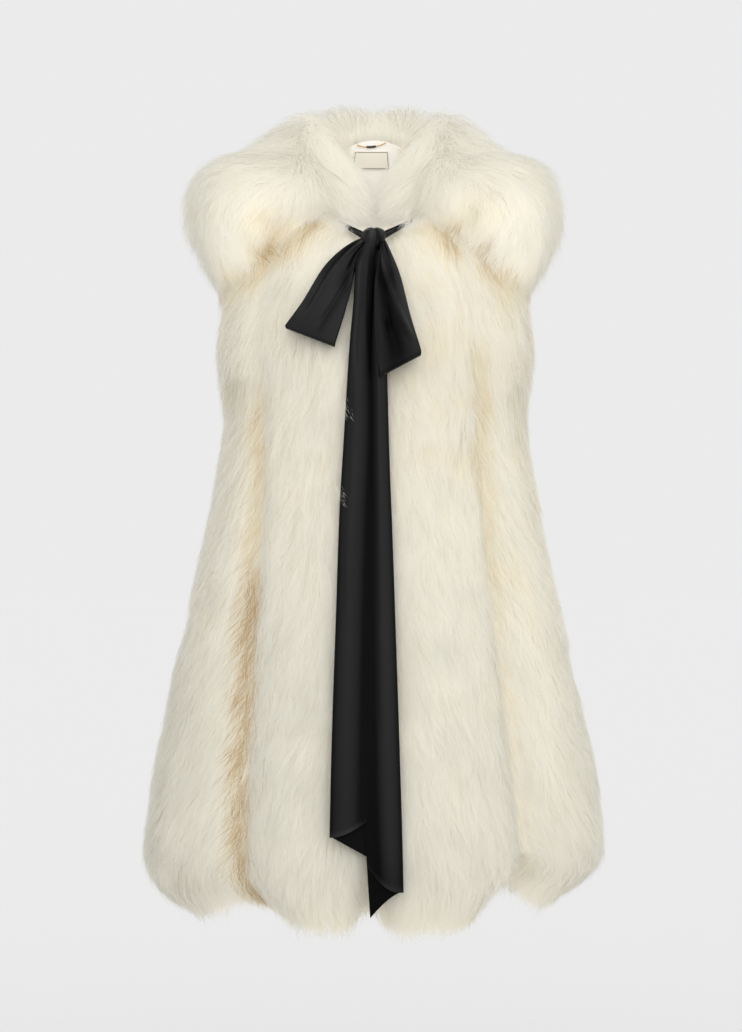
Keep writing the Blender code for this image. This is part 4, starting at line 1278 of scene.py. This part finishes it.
def past_shares(coat, tuft_tip, rng):
    """How much of each strand lies on past an end."""
    chance = coat.past_chance * rng.random(len(tuft_tip)) ** 2
    return coat.past_least + coat.past_tuft * tuft_tip + chance


def strand_tones(coat, tone, points, tuft_tone, rng):
    """Tones of the strands: a given one, with what the tuft, a slow swell and chance add."""
    swell = coat.tone_swell * waves(points, TONE_LENGTH, coat.salt + 3)
    return tone + TONE_TUFT * (tuft_tone - 0.5) + swell + rng.normal(0.0, TONE_CHANCE, len(points))


def panel_fur(pelt, settings):
    """The fur of one body panel, with the stray tufts that grow on it."""
    rng = np.random.default_rng(pelt.seed)
    coat = BODY_COAT

    def surface(u, v):
        return fur_point(panel_angle(pelt.name, u, v), v, coat.level)

    u, drop = spread_roots(surface, (0.0, HEM_DROP - HEM_ROOT_GAP), pelt.strands, rng)
    angle = panel_angle(pelt.name, u, drop)
    clear = beyond_collar(angle, drop)
    shown = clear > -UNDER_COLLAR
    angle, drop, clear = angle[shown], drop[shown], clear[shown]
    count = len(angle)
    point = fur_point(angle, drop, coat.level)
    valley = np.clip(fold_valleys(angle, drop)[0] / FULL_VALLEY, 0.0, 1.0)
    tuft_tone, tuft_tip, tuft_lean = tuft_traits(coat, point, settings)
    root = rng.uniform(PELT_SHARE, BODY_ROOT_MOST, count)
    tip = tip_heights(coat, point, tuft_tip, rng)
    low, room, shade = lap_shape(angle, drop + rng.normal(0.0, LAP_UNEVEN, count))
    tip = np.minimum(tip - low, coat.tip_most)
    length = settings.body_length * rng.uniform(*coat.hair_range, count) * (1.0 - VALLEY_SHORTER * valley)
    lean = (body_lean(angle) + strand_leans(coat, point, tuft_lean)) * (1.0 - VALLEY_STRAIGHTER * valley)
    lean = lean + LEAN_CHANCE * (1.0 + valley) * rng.normal(size=count)
    free = 0.1 + 0.5 * rng.random(count) ** 2
    past = past_shares(coat, tuft_tip, rng)
    root = np.minimum(root, tip - LEAST_RISE)
    hair = Hair(root, tip, np.minimum(length, room), np.arctan(lean), free, past)
    ends = (-NO_END, -NO_END, HEM_DROP)
    lines, out = grow(fur_point, angle, drop, ends, hair, coat, settings, rng)
    out = bright_under(out, BODY_UNDER)
    # painted shade in the crease under the collar's edge, deeper in some tufts and in front
    crease = np.exp(-(np.maximum(clear, 0.0) / BODY_CREASE_WIDTH) ** 2) * (0.1 + 1.3 * tuft_tone ** 2)
    crease = crease * (0.3 + 0.7 * ramp(np.cos(angle), -0.2, 0.4))
    # painted shade: the hair greys towards the bottom, where less light falls
    lower_shade = LOWER_PAINTED_SHADE * ramp(drop, LOWER_SHADE_START_DROP, LOWER_SHADE_END_DROP)
    tone = strand_tones(coat, pelt.tone - lower_shade, point, tuft_tone, rng)
    # painted shade: darker and warmer along the streaks, below the laps and in the crease under the collar
    tone = tone + streak_warmth_and_shade(angle, drop) + LAP_PAINTED_SHADOW * shade + BODY_CREASE_PAINTED_SHADE * crease
    # painted shade where the hem turns under
    tone = tone + HEM_PAINTED_SHADE * hem_share(drop + HEM_SHADE_START)
    width = settings.strand_width * pelt.coarseness * rng.uniform(*WIDTH_RANGE, count)
    groups = [Strands(lines, out, width, tone)]
    groups += [stray_strands(stray, settings, rng) for stray in STRAYS if stray.panel == pelt.name]
    return strands_object("fur_" + pelt.name, groups, rng)


def panel_pelt(pelt):
    """One body panel's skin, a wall between two heights: fur side out, satin side in."""
    share = np.linspace(0.0, 1.0, pelt.columns)[None, :]
    drop = np.linspace(PELT_TOP_DROP, HEM_DROP, PELT_ROWS)[:, None]
    angle = panel_angle(pelt.name, share, drop)
    outer, inner = (body_point(angle, drop, height) for height in (PELT_SHARE, 0.0))
    return wall_object("pelt_" + pelt.name, outer, inner, (pelt.flat_width, pelt.flat_length))


def line_inside(obj, faces_out):
    """Gives every face past the first ones the second material, the lining."""
    index = np.ones(len(obj.data.polygons), np.int32)
    index[:faces_out] = 0
    obj.data.polygons.foreach_set("material_index", index)


class CAPE_OT_body(Operator):
    """Makes the five body panels: a lined pelt and its fur for each"""

    bl_idname = "cape.body"
    bl_label = "Body fur"

    def execute(self, context):
        settings = context.scene.cape_fur
        undercoat = new_material("fur undercoat", undercoat_nodes, settings)
        satin = new_material("ivory satin", satin_nodes, context.scene.cape_neck)
        hair = new_material("ivory long-haired fur", fur_nodes, settings)
        for pelt in PANELS:
            skin = dress(panel_pelt(pelt), "fur", undercoat, pelt.name)
            skin.data.materials.append(satin)
            line_inside(skin, (PELT_ROWS - 1) * (pelt.columns - 1))
            # light enters the neck and the front opening as it would through thin skins
            skin.visible_shadow = not pelt.name.startswith("front")
            fur = dress(panel_fur(pelt, settings), "fur", hair)
        return {"FINISHED"}


def neck_fringe(sign, settings, rng):
    """Hair that turns in over the front of one side of the neck edge: it leaves the edge and the lining just
    below it, runs inwards, rises a little and then hangs."""
    count = FRINGE_STRANDS
    away = rng.uniform(FRINGE_START_DEG, FRINGE_ROWS[-1].deg, count)
    angle = sign * np.radians(away)
    drop = FRINGE_DROP * rng.random(count) ** 1.8
    root = body_point(angle, drop, rng.random(count) * np.exp(-drop / FRINGE_EDGE))
    inward = unit(-body_normal(angle, drop, 0.0) * LEVEL)
    aside = np.cross(inward, UP)
    length = along(FRINGE_ROWS, "deg", "length", away) * rng.uniform(*PACE_RANGE, count)
    rise = rng.uniform(0.3, 0.9, count)[:, None]
    hang = rng.uniform(0.0, 0.9, count)[:, None]
    lean = (0.3 * waves(root, 0.06, 51) + rng.normal(0.0, 0.15, count))[:, None]
    share = STRAND_SHARES[None, :]
    up = rise * share - (rise + hang) * share ** 2
    inside = 0.95 * share - 0.1 * share ** 2
    lines = root[:, None, :] + length[:, None, None] * (
        inside[..., None] * inward[:, None, :]
        + (lean * share)[..., None] * aside[:, None, :]
        + up[..., None] * UP
    )
    out = unit((0.3 + 0.5 * share)[..., None] * inward[:, None, :] + np.array((0.0, -1.0, 0.4)))
    tone = FRINGE_TONE + 0.12 * waves(root, 0.05, 52) + rng.normal(0.0, TONE_CHANCE, count)
    return Strands(lines, out, settings.strand_width * rng.uniform(*WIDTH_RANGE, count), tone)


def neck_rim(sign, settings, rng):
    """Short hair round the neck edge: in front it lies down over the chest, and behind it stands up along the
    collar."""
    count = RIM_STRANDS
    turn = math.pi * rng.random((count, 1))
    drop = RIM_DROP * rng.random((count, 1))
    height = rng.uniform(0.3, 0.9, (count, 1))
    pace = rng.uniform(*PACE_RANGE, (count, 1))
    share = STRAND_SHARES[None, :]
    behind = ramp(turn, 0.9, 1.7)[..., None]
    angle = sign * turn + 0.05 * rng.normal(size=(count, 1)) * share
    lying = body_point(angle, drop + RIM_LYING * pace * share, height + (1.05 - height) * share ** 0.6)
    standing = body_point(sign * turn, drop, height) + (RIM_STANDING * pace * share)[..., None] * UP
    lines = lying + behind * (standing - lying)
    out = np.broadcast_to(unit(FRONT_UP + 0.5 * UP), lines.shape)
    tone = RIM_TONE + rng.normal(0.0, TONE_CHANCE, count)
    return Strands(lines, out, settings.strand_width * rng.uniform(*WIDTH_RANGE, count), tone)


def collar_fur(pelt, sign, settings):
    """The fur of half the collar, with the hair that turns in over the neck edge. The hair runs out to the
    lip, turns to the front along the crest and runs down into the neck inside it."""
    rng = np.random.default_rng(pelt.seed)
    coat = COLLAR_COAT

    def place(u, v, height):
        return collar_point(u, v, height, sign)

    def surface(u, v):
        return place(u, v, coat.level)

    u, v = spread_roots(surface, COLLAR_ROOT_SPREAD, pelt.strands, rng)
    deep = (collar_depth(u, v) > COLLAR_LEAST_DEPTH) | (v < 0.0)
    u, v = u[deep], v[deep]
    count = len(u)
    point = surface(u, v)
    tuft_tone, tuft_tip, tuft_lean = tuft_traits(coat, point, settings)
    low = collar_skin(v) + 0.3 * ramp(v, -0.02, -0.22)
    root = low + (COLLAR_ROOT_MOST - low) * rng.random(count)
    tip = np.minimum(tip_heights(coat, point, tuft_tip, rng), coat.tip_most)
    length = settings.collar_length * rng.uniform(*coat.hair_range, count)
    into_neck = ramp(u, 0.85, 0.55) * ramp(v, 0.25, -0.30)
    to_front = COLLAR_TO_FRONT * ramp(u, 0.30, 0.0) * (1.0 - into_neck)
    below_edge = ramp(v, 0.2, -0.1)
    loose = LEAN_CHANCE * (1.0 + 1.5 * below_edge)
    turn = strand_leans(coat, point, tuft_lean) + loose * rng.normal(size=count)
    turn = turn - math.pi * into_neck - to_front
    free = (0.55 + 0.3 * ramp(v, 0.35, 0.75)) * rng.random(count)
    hair = Hair(root, tip, length, turn, free, past_shares(coat, tuft_tip, rng))
    lines, out = grow(place, u, v, (0.0, -1.0, 1.0), hair, coat, settings, rng)
    at_end = ramp(u, 0.25, 0.0) * ramp(v, -0.1, 0.3)
    in_neck = ramp(v, 0.0, -0.5)
    lifted = (NECK_UP * in_neck + END_UP * at_end)[:, None, None] * FRONT_UP
    out = unit(bright_under(out, COLLAR_UNDER) + lifted)
    # painted shade along the collar's front edge over the chest, in some tufts, stronger on the wearer's
    # right
    crease = ramp(u, 0.10, 0.0) * ramp(v, 0.25, 0.65) * tuft_tone ** 2
    tone = strand_tones(coat, pelt.tone, point, tuft_tone, rng)
    tone = tone + END_TONE * at_end + (1.0 - COLLAR_CREASE_UNEVEN * sign) * crease
    # painted shade on the lip, where the collar rounds under
    tone = tone + LIP_PAINTED_SHADE * ramp(v, 0.75, 1.0) + NECK_TONE * below_edge
    # painted shade greying the back of the collar
    tone = tone - BACK_PAINTED_SHADE * ramp(u, 0.6, 0.9)
    width = settings.strand_width * pelt.coarseness * rng.uniform(*WIDTH_RANGE, count)
    groups = [Strands(lines, out, width, tone)]
    groups += [hair_at(sign, settings, rng) for hair_at in (neck_fringe, neck_rim)]
    return strands_object("fur_" + pelt.name, groups, rng)


def collar_pelt(pelt, sign):
    """Half the collar's skin: it rises from the neck edge into the collar's fur."""
    u = np.linspace(COLLAR_PELT_START, 1.0, pelt.columns)[None, :]
    v = np.linspace(0.0, COLLAR_PELT_END, COLLAR_PELT_ROWS)[:, None]
    middle = collar_point(u, v, collar_skin(v), sign)
    return sheet_object("pelt_" + pelt.name, middle, COLLAR_PELT_THICK, (pelt.flat_width, pelt.flat_length))


class CAPE_OT_collar(Operator):
    """Makes the two halves of the collar: a pelt and its fur for each"""

    bl_idname = "cape.collar"
    bl_label = "Collar fur"

    def execute(self, context):
        settings = context.scene.cape_fur
        undercoat = new_material("fur undercoat", undercoat_nodes, settings)
        hair = new_material("ivory long-haired fur", fur_nodes, settings)
        for pelt, sign in zip(COLLARS, (-1.0, 1.0)):
            skin = dress(collar_pelt(pelt, sign), "fur", undercoat, pelt.name)
            skin.visible_shadow = False
            fur = dress(collar_fur(pelt, sign, settings), "fur", hair)
        return {"FINISHED"}


def chain_path(start, end, count):
    """Points along the hanging chain, from one share of its span to another, and the inward direction."""
    radius = np.linalg.norm(body_point(math.pi, LABEL_TOP_DROP, 0.0)[..., :2])
    share = np.linspace(start, end, count)
    angle = math.pi + (CHAIN_SPAN * share + NECK_SHIFT) / radius
    drop = CHAIN_TOP_DROP + CHAIN_SAG * (1.0 - (2.0 * share) ** 2)
    lift = FACING_GAP + FACING_THICK + SEAM_GAP + SLEEVE_RADIUS
    return inner_point(angle, drop, np.full(count, lift)), -body_normal(angle, drop, 0.0)


def chain_object(name, start, end):
    """A run of oval links, each a thin ring carried round an oval and turned a quarter from the one
    before."""
    path, inward = chain_path(start, end, 60)
    reach = np.concatenate([[0.0], np.cumsum(np.linalg.norm(np.diff(path, axis=0), axis=-1))])
    count = max(3, int(round(reach[-1] / LINK_PITCH)))
    at = (np.arange(count) + 0.5) / count * reach[-1]
    centre = np.stack([np.interp(at, reach, path[:, k]) for k in range(3)], axis=-1)
    forward = unit(np.gradient(centre, axis=0))
    lift = unit(np.stack([np.interp(at, reach, inward[:, k]) for k in range(3)], axis=-1))
    aside = unit(np.cross(forward, lift))
    lift = np.cross(aside, forward)
    quarter = np.where(np.arange(count) % 2 == 0, 0.25 * math.pi, -0.25 * math.pi)[:, None]
    flat = aside * np.cos(quarter) + lift * np.sin(quarter)
    square = np.cross(forward, flat)
    ring = np.linspace(0.0, 2.0 * math.pi, 17)[:-1]
    tube = np.linspace(0.0, 2.0 * math.pi, 9)[:-1]
    half_length, half_width = 0.5 * LINK_LENGTH - LINK_WIRE, 0.5 * LINK_WIDTH - LINK_WIRE
    oval = np.stack([half_length * np.cos(ring), half_width * np.sin(ring)], axis=-1)
    out = unit(np.stack([half_width * np.cos(ring), half_length * np.sin(ring)], axis=-1))
    in_plane = oval[:, None, :] + LINK_WIRE * np.cos(tube)[None, :, None] * out[:, None, :]
    above = LINK_WIRE * np.sin(tube)[None, :] * np.ones((len(ring), 1))
    points = (
        centre[:, None, None, :]
        + in_plane[None, :, :, :1] * forward[:, None, None, :]
        + in_plane[None, :, :, 1:] * flat[:, None, None, :]
        + above[None, :, :, None] * square[:, None, None, :]
    )
    index = np.arange(len(ring) * len(tube)).reshape(len(ring), len(tube))
    next_ring, next_tube = np.roll(index, -1, axis=0), np.roll(index, -1, axis=1)
    both = np.roll(next_ring, -1, axis=1)
    link = np.stack([index, next_ring, both, next_tube], axis=-1).reshape(-1, 4)
    quads = (index.size * np.arange(count)[:, None, None] + link[None]).reshape(-1, 4)
    return new_object(name, points.reshape(-1, 3), quads)


def closed_rings(rings, poles):
    """Points and faces of rings along a path, closed by a fan to a pole at each end."""
    rows, columns = rings.shape[:2]
    index = np.arange(rows * columns).reshape(rows, columns)
    beside = np.roll(index, -1, axis=1)
    quads = np.stack([index[:-1], index[1:], beside[1:], beside[:-1]], axis=-1).reshape(-1, 4)
    first, last = (np.full(columns, rows * columns + k) for k in range(2))
    start_fan = np.stack([first, index[0], beside[0]], axis=-1)
    end_fan = np.stack([last, beside[-1], index[-1]], axis=-1)
    return np.concatenate([rings.reshape(-1, 3), poles]), quads, np.concatenate([start_fan, end_fan])


def tube_object(name, path, radius):
    """A round tube along a path, with a radius at each point, closed by a pole at each end."""
    forward = unit(np.gradient(path, axis=0))
    side = unit(np.cross(forward, np.array((0.0, 0.3, 1.0))))
    up = np.cross(side, forward)
    turn = np.linspace(0.0, 2.0 * math.pi, 17)[None, :-1, None]
    rings = path[:, None, :] + radius[:, None, None] * (
        np.cos(turn) * side[:, None, :] + np.sin(turn) * up[:, None, :]
    )
    return new_object(name, *closed_rings(rings, path[[0, -1]]))


class CAPE_OT_neck(Operator):
    """Makes the satin facing inside the back of the neck, the bare label and the hanging chain"""

    bl_idname = "cape.neck"
    bl_label = "Neck facing, label and chain"

    def execute(self, context):
        settings = context.scene.cape_neck
        angle = math.pi + np.radians(np.linspace(-FACING_HALF_DEG, FACING_HALF_DEG, 41))[None, :]
        drop = np.linspace(FACING_TOP_DROP, FACING_END_DROP, 33)[:, None]
        middle = inner_point(angle, drop, FACING_GAP + 0.5 * FACING_THICK)
        facing = sheet_object("neck_facing_satin", middle, FACING_THICK, FACING_FLAT)
        dress(facing, "lining", new_material("ivory satin", satin_nodes, settings), "neck_facing")

        radius = np.linalg.norm(body_point(math.pi, LABEL_TOP_DROP, 0.0)[..., :2])
        half = 0.5 * LABEL_WIDTH / radius
        angle = math.pi + NECK_SHIFT / radius + np.linspace(-half, half, 33)[None, :]
        middle = np.linspace(LABEL_TOP_DROP, LABEL_TOP_DROP + LABEL_HEIGHT, 17)[:, None]
        drop = level_drop(angle, body_point(math.pi, middle, 0.0)[..., 2])
        lift = FACING_GAP + FACING_THICK + FACING_GAP + 0.5 * LABEL_THICK
        label = sheet_object(
            "label_woven", inner_point(angle, drop, lift), LABEL_THICK, (LABEL_WIDTH, LABEL_HEIGHT)
        )
        dress(label, "label", new_material("woven label", label_nodes, settings), "label")

        middle = 0.5 * SLEEVE_SHARE
        gilt = new_material("gilded brass", gilt_nodes, settings)
        dress(chain_object("chain_links_l", -0.5, -middle), "gilt_chain", gilt, "hanger_chain_l")
        dress(chain_object("chain_links_r", middle, 0.5), "gilt_chain", gilt, "hanger_chain_r")
        path = chain_path(-middle, middle, 24)[0]
        share = np.linspace(-1.0, 1.0, 24)
        radius = SLEEVE_RADIUS * (1.0 - np.abs(share) ** 10) ** 0.5 + 0.0001
        sleeve = tube_object("chain_sleeve", path, radius)
        dress(sleeve, "black_sleeve", new_material("black leather", sleeve_nodes, settings), "hanger_sleeve")
        return {"FINISHED"}


def strap_sheet(strap):
    """A short strap's middle, gathered lengthwise and rising off the fur to the knot, and its painted light:
    painted sheen on the ridges of its gathers and painted shade between them.
    """
    share = np.linspace(0.0, 1.0, 25)[:, None]
    across = np.linspace(-0.5, 0.5, 17)[None, :]
    x = strap.x_out + (strap.x_in - strap.x_out) * share
    width = strap.width_out + (strap.width_in - strap.width_out) * share
    z = strap.z_out + (strap.z_in - strap.z_out) * share - width * across
    fold = 0.5 + 0.5 * np.cos(4.0 * math.pi * across)
    lift = RIBBON_GAP + 0.0006 + 2.0 * STRAP_RIDGE * fold + (KNOT_LIFT - 0.008) * share ** 1.5
    # painted sheen on the gathers' ridges, painted shade between them
    return front_point(x, z, lift), 0.2 + 0.5 * fold + 0.0 * share


def crease_height(across, down, rows):
    """Height of the creases over a cloth: each is a bell across its line, and fades out past both ends."""
    height = 0.0 * (across + down)
    for row in rows:
        run_a, run_d = row.across_1 - row.across_0, row.down_1 - row.down_0
        length = math.hypot(run_a, run_d)
        on = ((across - row.across_0) * run_a + (down - row.down_0) * run_d) / length ** 2
        away = ((across - row.across_0) * run_d - (down - row.down_0) * run_a) / length
        height = height + row.depth * np.exp(-(away / row.spread) ** 2) * within_ends(on, 0.15)
    return height


def folded(count, turns):
    """A ribbon folded in two: the share from its start to the fold and back, how far it bulges past the fold,
    and its side, 1 on the front layer and -1 on the back one."""
    layer = np.linspace(0.0, 1.0, count)
    turn = np.linspace(0.0, math.pi, turns + 2)[1:-1]
    share = np.concatenate([layer, np.ones(turns), layer[::-1]])
    past = np.concatenate([np.zeros(count), np.sin(turn), np.zeros(count)])
    side = np.concatenate([np.ones(count), np.cos(turn), -np.ones(count)])
    return share, past, side


def loop_sheet(loop):
    """A bow loop's middle: a wide ribbon runs down from the knot between its two edges, turns up at its fold
    and runs back behind. The front layer is crowned and has the creases. Gives the painted light too: bands
    of painted sheen and painted shade on the front layer, and painted shade, none, inside."""
    down, past, side = (row[:, None] for row in folded(45, 11))
    across = np.linspace(0.0, 1.0, 41)[None, :]
    out_x, out_z, in_x, in_z = (along(loop.rows, "share", name, down) for name in LoopRow._fields[1:])
    x = out_x + (in_x - out_x) * across
    z = out_z + (in_z - out_z) * across
    half = 0.5 * (loop.front_lift - loop.back_lift)
    middle = loop.top_lift + (loop.back_lift + half - loop.top_lift) * ramp(1.6 * down, 0.0, 1.0)
    open_share = 0.25 + 0.75 * ramp(1.3 * down, 0.0, 1.0)
    crown = loop.crown * np.sin(math.pi * np.clip(down, 0.0, 1.0)) * np.sin(math.pi * across) ** 0.8
    front = ramp(side, -1.0, 1.0) * (crown + crease_height(across, down, loop.creases))
    lift = RIBBON_GAP + middle + side * half * open_share + front
    # painted sheen and painted shade bands on the front layer; none, painted shade, on the back layer inside
    gloss = ramp(side, -1.0, 1.0) * (LEVEL_PAINTED_LIGHT + crease_height(across, down, loop.glosses))
    return front_point(x, z - loop.fold_radius * past, lift), np.clip(gloss, 0.0, 1.0)


def tail_sheet(tail):
    """A long tail's middle: folded lengthwise along its outer side, the front layer crowned, rolled back at
    its free edge and creased, and both layers cut to a slant at the end. Gives the painted light too:
    painted shade darkening towards the end and filling the inside of the fold, bands of painted sheen and
    painted shade, and a painted highlight on the hem's rim."""
    down = np.concatenate([np.linspace(0.0, 0.985, 117), HEM_RIM_SHARES])[:, None]
    to_fold, past, side = (row[None, :] for row in folded(17, 7))
    free = 1.0 - to_fold
    end = np.where(
        side > 0.0,
        (tail.z_front_end - tail.z_fold_end) * free ** tail.front_power,
        (tail.z_back_end - tail.z_fold_end) * free ** tail.back_power,
    )
    z_top = tail.rows[0].z
    z = z_top + (tail.z_fold_end + end - z_top) * down
    fold_x, free_x, stand = (along(tail.rows[::-1], "z", name, z) for name in TailRow._fields[1:])
    radius = 0.5 * tail.opening
    x = fold_x + (free_x - fold_x) * free + np.sign(tail.rows[-1].fold_x) * 0.7 * radius * past
    crown = TAIL_CROWN * (np.sin(math.pi * free ** 0.8) - 0.6 * free ** 3)
    front = ramp(side, -1.0, 1.0) * (crown + crease_height(free, down, tail.creases))
    # painted light: darker towards the end, painted bands, a painted highlight on the hem's rim, none inside
    gloss = LEVEL_PAINTED_LIGHT - 0.22 * down + crease_height(free, down, tail.glosses)
    gloss = gloss + 0.3 * ramp(down, 0.990, 0.996)
    gloss = np.clip(ramp(side, -1.0, 1.0) * gloss, 0.0, 1.0)
    return front_point(x, z, RIBBON_GAP + stand + radius * (1.0 + side) + front), gloss


def knot_object():
    """The knot: a soft lump drawn tight, fluted from top to bottom and pinched at its waist."""
    wide, deep, high = KNOT_SIZE
    centre = front_point(*KNOT_PLACE, KNOT_LIFT)
    down = np.linspace(0.0, math.pi, 41)[1:-1, None]
    turn = np.linspace(0.0, 2.0 * math.pi, 97)[None, :-1]
    pinch = 1.0 - 0.16 * np.exp(-((down - 0.5 * math.pi) / 0.4) ** 2) * np.cos(turn) ** 2
    flute = 1.0 + 0.05 * np.sin(7.0 * turn + 1.2 * np.cos(down)) + 0.04 * np.sin(4.0 * turn - 2.0 * down)
    x = 0.5 * wide * np.sin(down) ** 0.6 * np.cos(turn) * pinch * flute
    y = 0.5 * deep * np.sin(down) ** 0.6 * np.sin(turn) * flute
    z = 0.5 * high * np.cos(down) * (1.0 + 0.12 * np.cos(turn) * np.sin(2.0 * turn))
    rings = np.stack([x, y, z], axis=-1) + centre
    points, quads, fans = closed_rings(rings, rings[[0, -1]].mean(axis=1))
    # painted light: painted sheen on the flutes' ridges and painted shade in their hollows
    gloss = np.clip(LEVEL_PAINTED_LIGHT + 4.0 * (flute - 1.0), 0.0, 1.0)
    gloss = np.concatenate([gloss.ravel(), (0.2, 0.2)])
    return new_object("tie_knot", points, quads, fans, points[:, (0, 2)], gloss=gloss)


class CAPE_OT_tie(Operator):
    """Makes the silk tie: two straps, the knot, two loops and two long tails"""

    bl_idname = "cape.tie"
    bl_label = "Silk bow"

    def execute(self, context):
        settings = context.scene.cape_silk
        silk = new_material("black silk", silk_nodes, settings)
        dress(knot_object(), "black_silk", silk, "bow_knot")
        for strap in STRAPS:
            sheet, gloss = strap_sheet(strap)
            piece = sheet_object(strap.name + "_silk", sheet, settings.thickness, STRAP_MAP, gloss)
            dress(piece, "black_silk", silk, strap.name)
        for rows, shape, held in ((LOOPS, loop_sheet, "folded"), (TAILS, tail_sheet, "hung")):
            for row in rows:
                sheet, gloss = shape(row)
                piece = sheet_object(row.name + "_silk", sheet, settings.thickness, row.flat, gloss)
                dress(piece, "black_silk", silk, row.name)
        return {"FINISHED"}


class CAPE_OT_stage(Operator):
    """Makes the camera, the pale floor and the soft studio light"""

    bl_idname = "cape.stage"
    bl_label = "Stage"

    def execute(self, context):
        settings = context.scene.cape_stage
        scene = context.scene
        scene.view_settings.view_transform = "Standard"
        camera = bpy.data.objects.new("camera", bpy.data.cameras.new("camera"))
        camera.data.sensor_width = SENSOR
        camera.data.lens = SENSOR * -CAMERA_PLACE[1] / PICTURE_HEIGHT
        camera.location = CAMERA_PLACE
        camera.rotation_euler = (0.5 * math.pi, 0.0, 0.0)
        scene.collection.objects.link(camera)
        scene.camera = camera

        world = bpy.data.worlds.new("studio")
        world.use_nodes = True
        back = world.node_tree.nodes["Background"]
        back.inputs["Color"].default_value = (*settings.backdrop_colour, 1.0)
        scene.world = world

        for lamp in LAMPS:
            light = bpy.data.lights.new(lamp.name, "SUN")
            light.energy = lamp.share * settings.key_strength
            light.angle = settings.softness
            made = bpy.data.objects.new(lamp.name, light)
            made.rotation_euler = (math.radians(LAMP_TILT_DEG), 0.0, math.radians(lamp.turn_deg))
            scene.collection.objects.link(made)

        turn = np.linspace(0.0, 2.0 * math.pi, FLOOR_SIDES + 1)[:-1]
        rim = np.stack([np.cos(turn), np.sin(turn), 0.0 * turn], axis=-1)
        index = np.arange(FLOOR_SIDES)
        fan = np.stack([np.full(FLOOR_SIDES, FLOOR_SIDES), index, np.roll(index, -1)], axis=-1)
        points = np.concatenate([FLOOR_RADIUS * rim, np.zeros((1, 3))]) + FLOOR_Z * UP
        floor = new_object("floor", points, np.zeros((0, 4), int), fan)
        floor.data.materials.append(new_material("pale matt floor", floor_nodes, settings))
        return {"FINISHED"}


OPERATORS = (CAPE_OT_stage, CAPE_OT_body, CAPE_OT_collar, CAPE_OT_neck, CAPE_OT_tie)


GROUPS = {
    "cape_fur": FurSettings,
    "cape_silk": SilkSettings,
    "cape_neck": NeckSettings,
    "cape_stage": StageSettings,
}


class CAPE_PT_panel(Panel):
    """Lists the steps that build the cape"""

    bl_label = "Fur cape"
    bl_idname = "CAPE_PT_panel"
    bl_space_type = "VIEW_3D"
    bl_region_type = "UI"
    bl_category = "Fur cape"

    def draw(self, context):
        for operator in OPERATORS:
            self.layout.operator(operator.bl_idname)
        for group in GROUPS:
            box = self.layout.box()
            settings = getattr(context.scene, group)
            for name in settings.__annotations__:
                box.prop(settings, name)


CLASSES = (*GROUPS.values(), *OPERATORS, CAPE_PT_panel)


def register():
    for cls in CLASSES:
        bpy.utils.register_class(cls)
    for name, group in GROUPS.items():
        setattr(bpy.types.Scene, name, PointerProperty(type=group))


def unregister():
    for name in GROUPS:
        delattr(bpy.types.Scene, name)
    for cls in reversed(CLASSES):
        bpy.utils.unregister_class(cls)


def main():
    register()
    bpy.ops.cape.stage()
    bpy.ops.cape.body()
    bpy.ops.cape.collar()
    bpy.ops.cape.neck()
    bpy.ops.cape.tie()


if __name__ == "__main__":
    main()
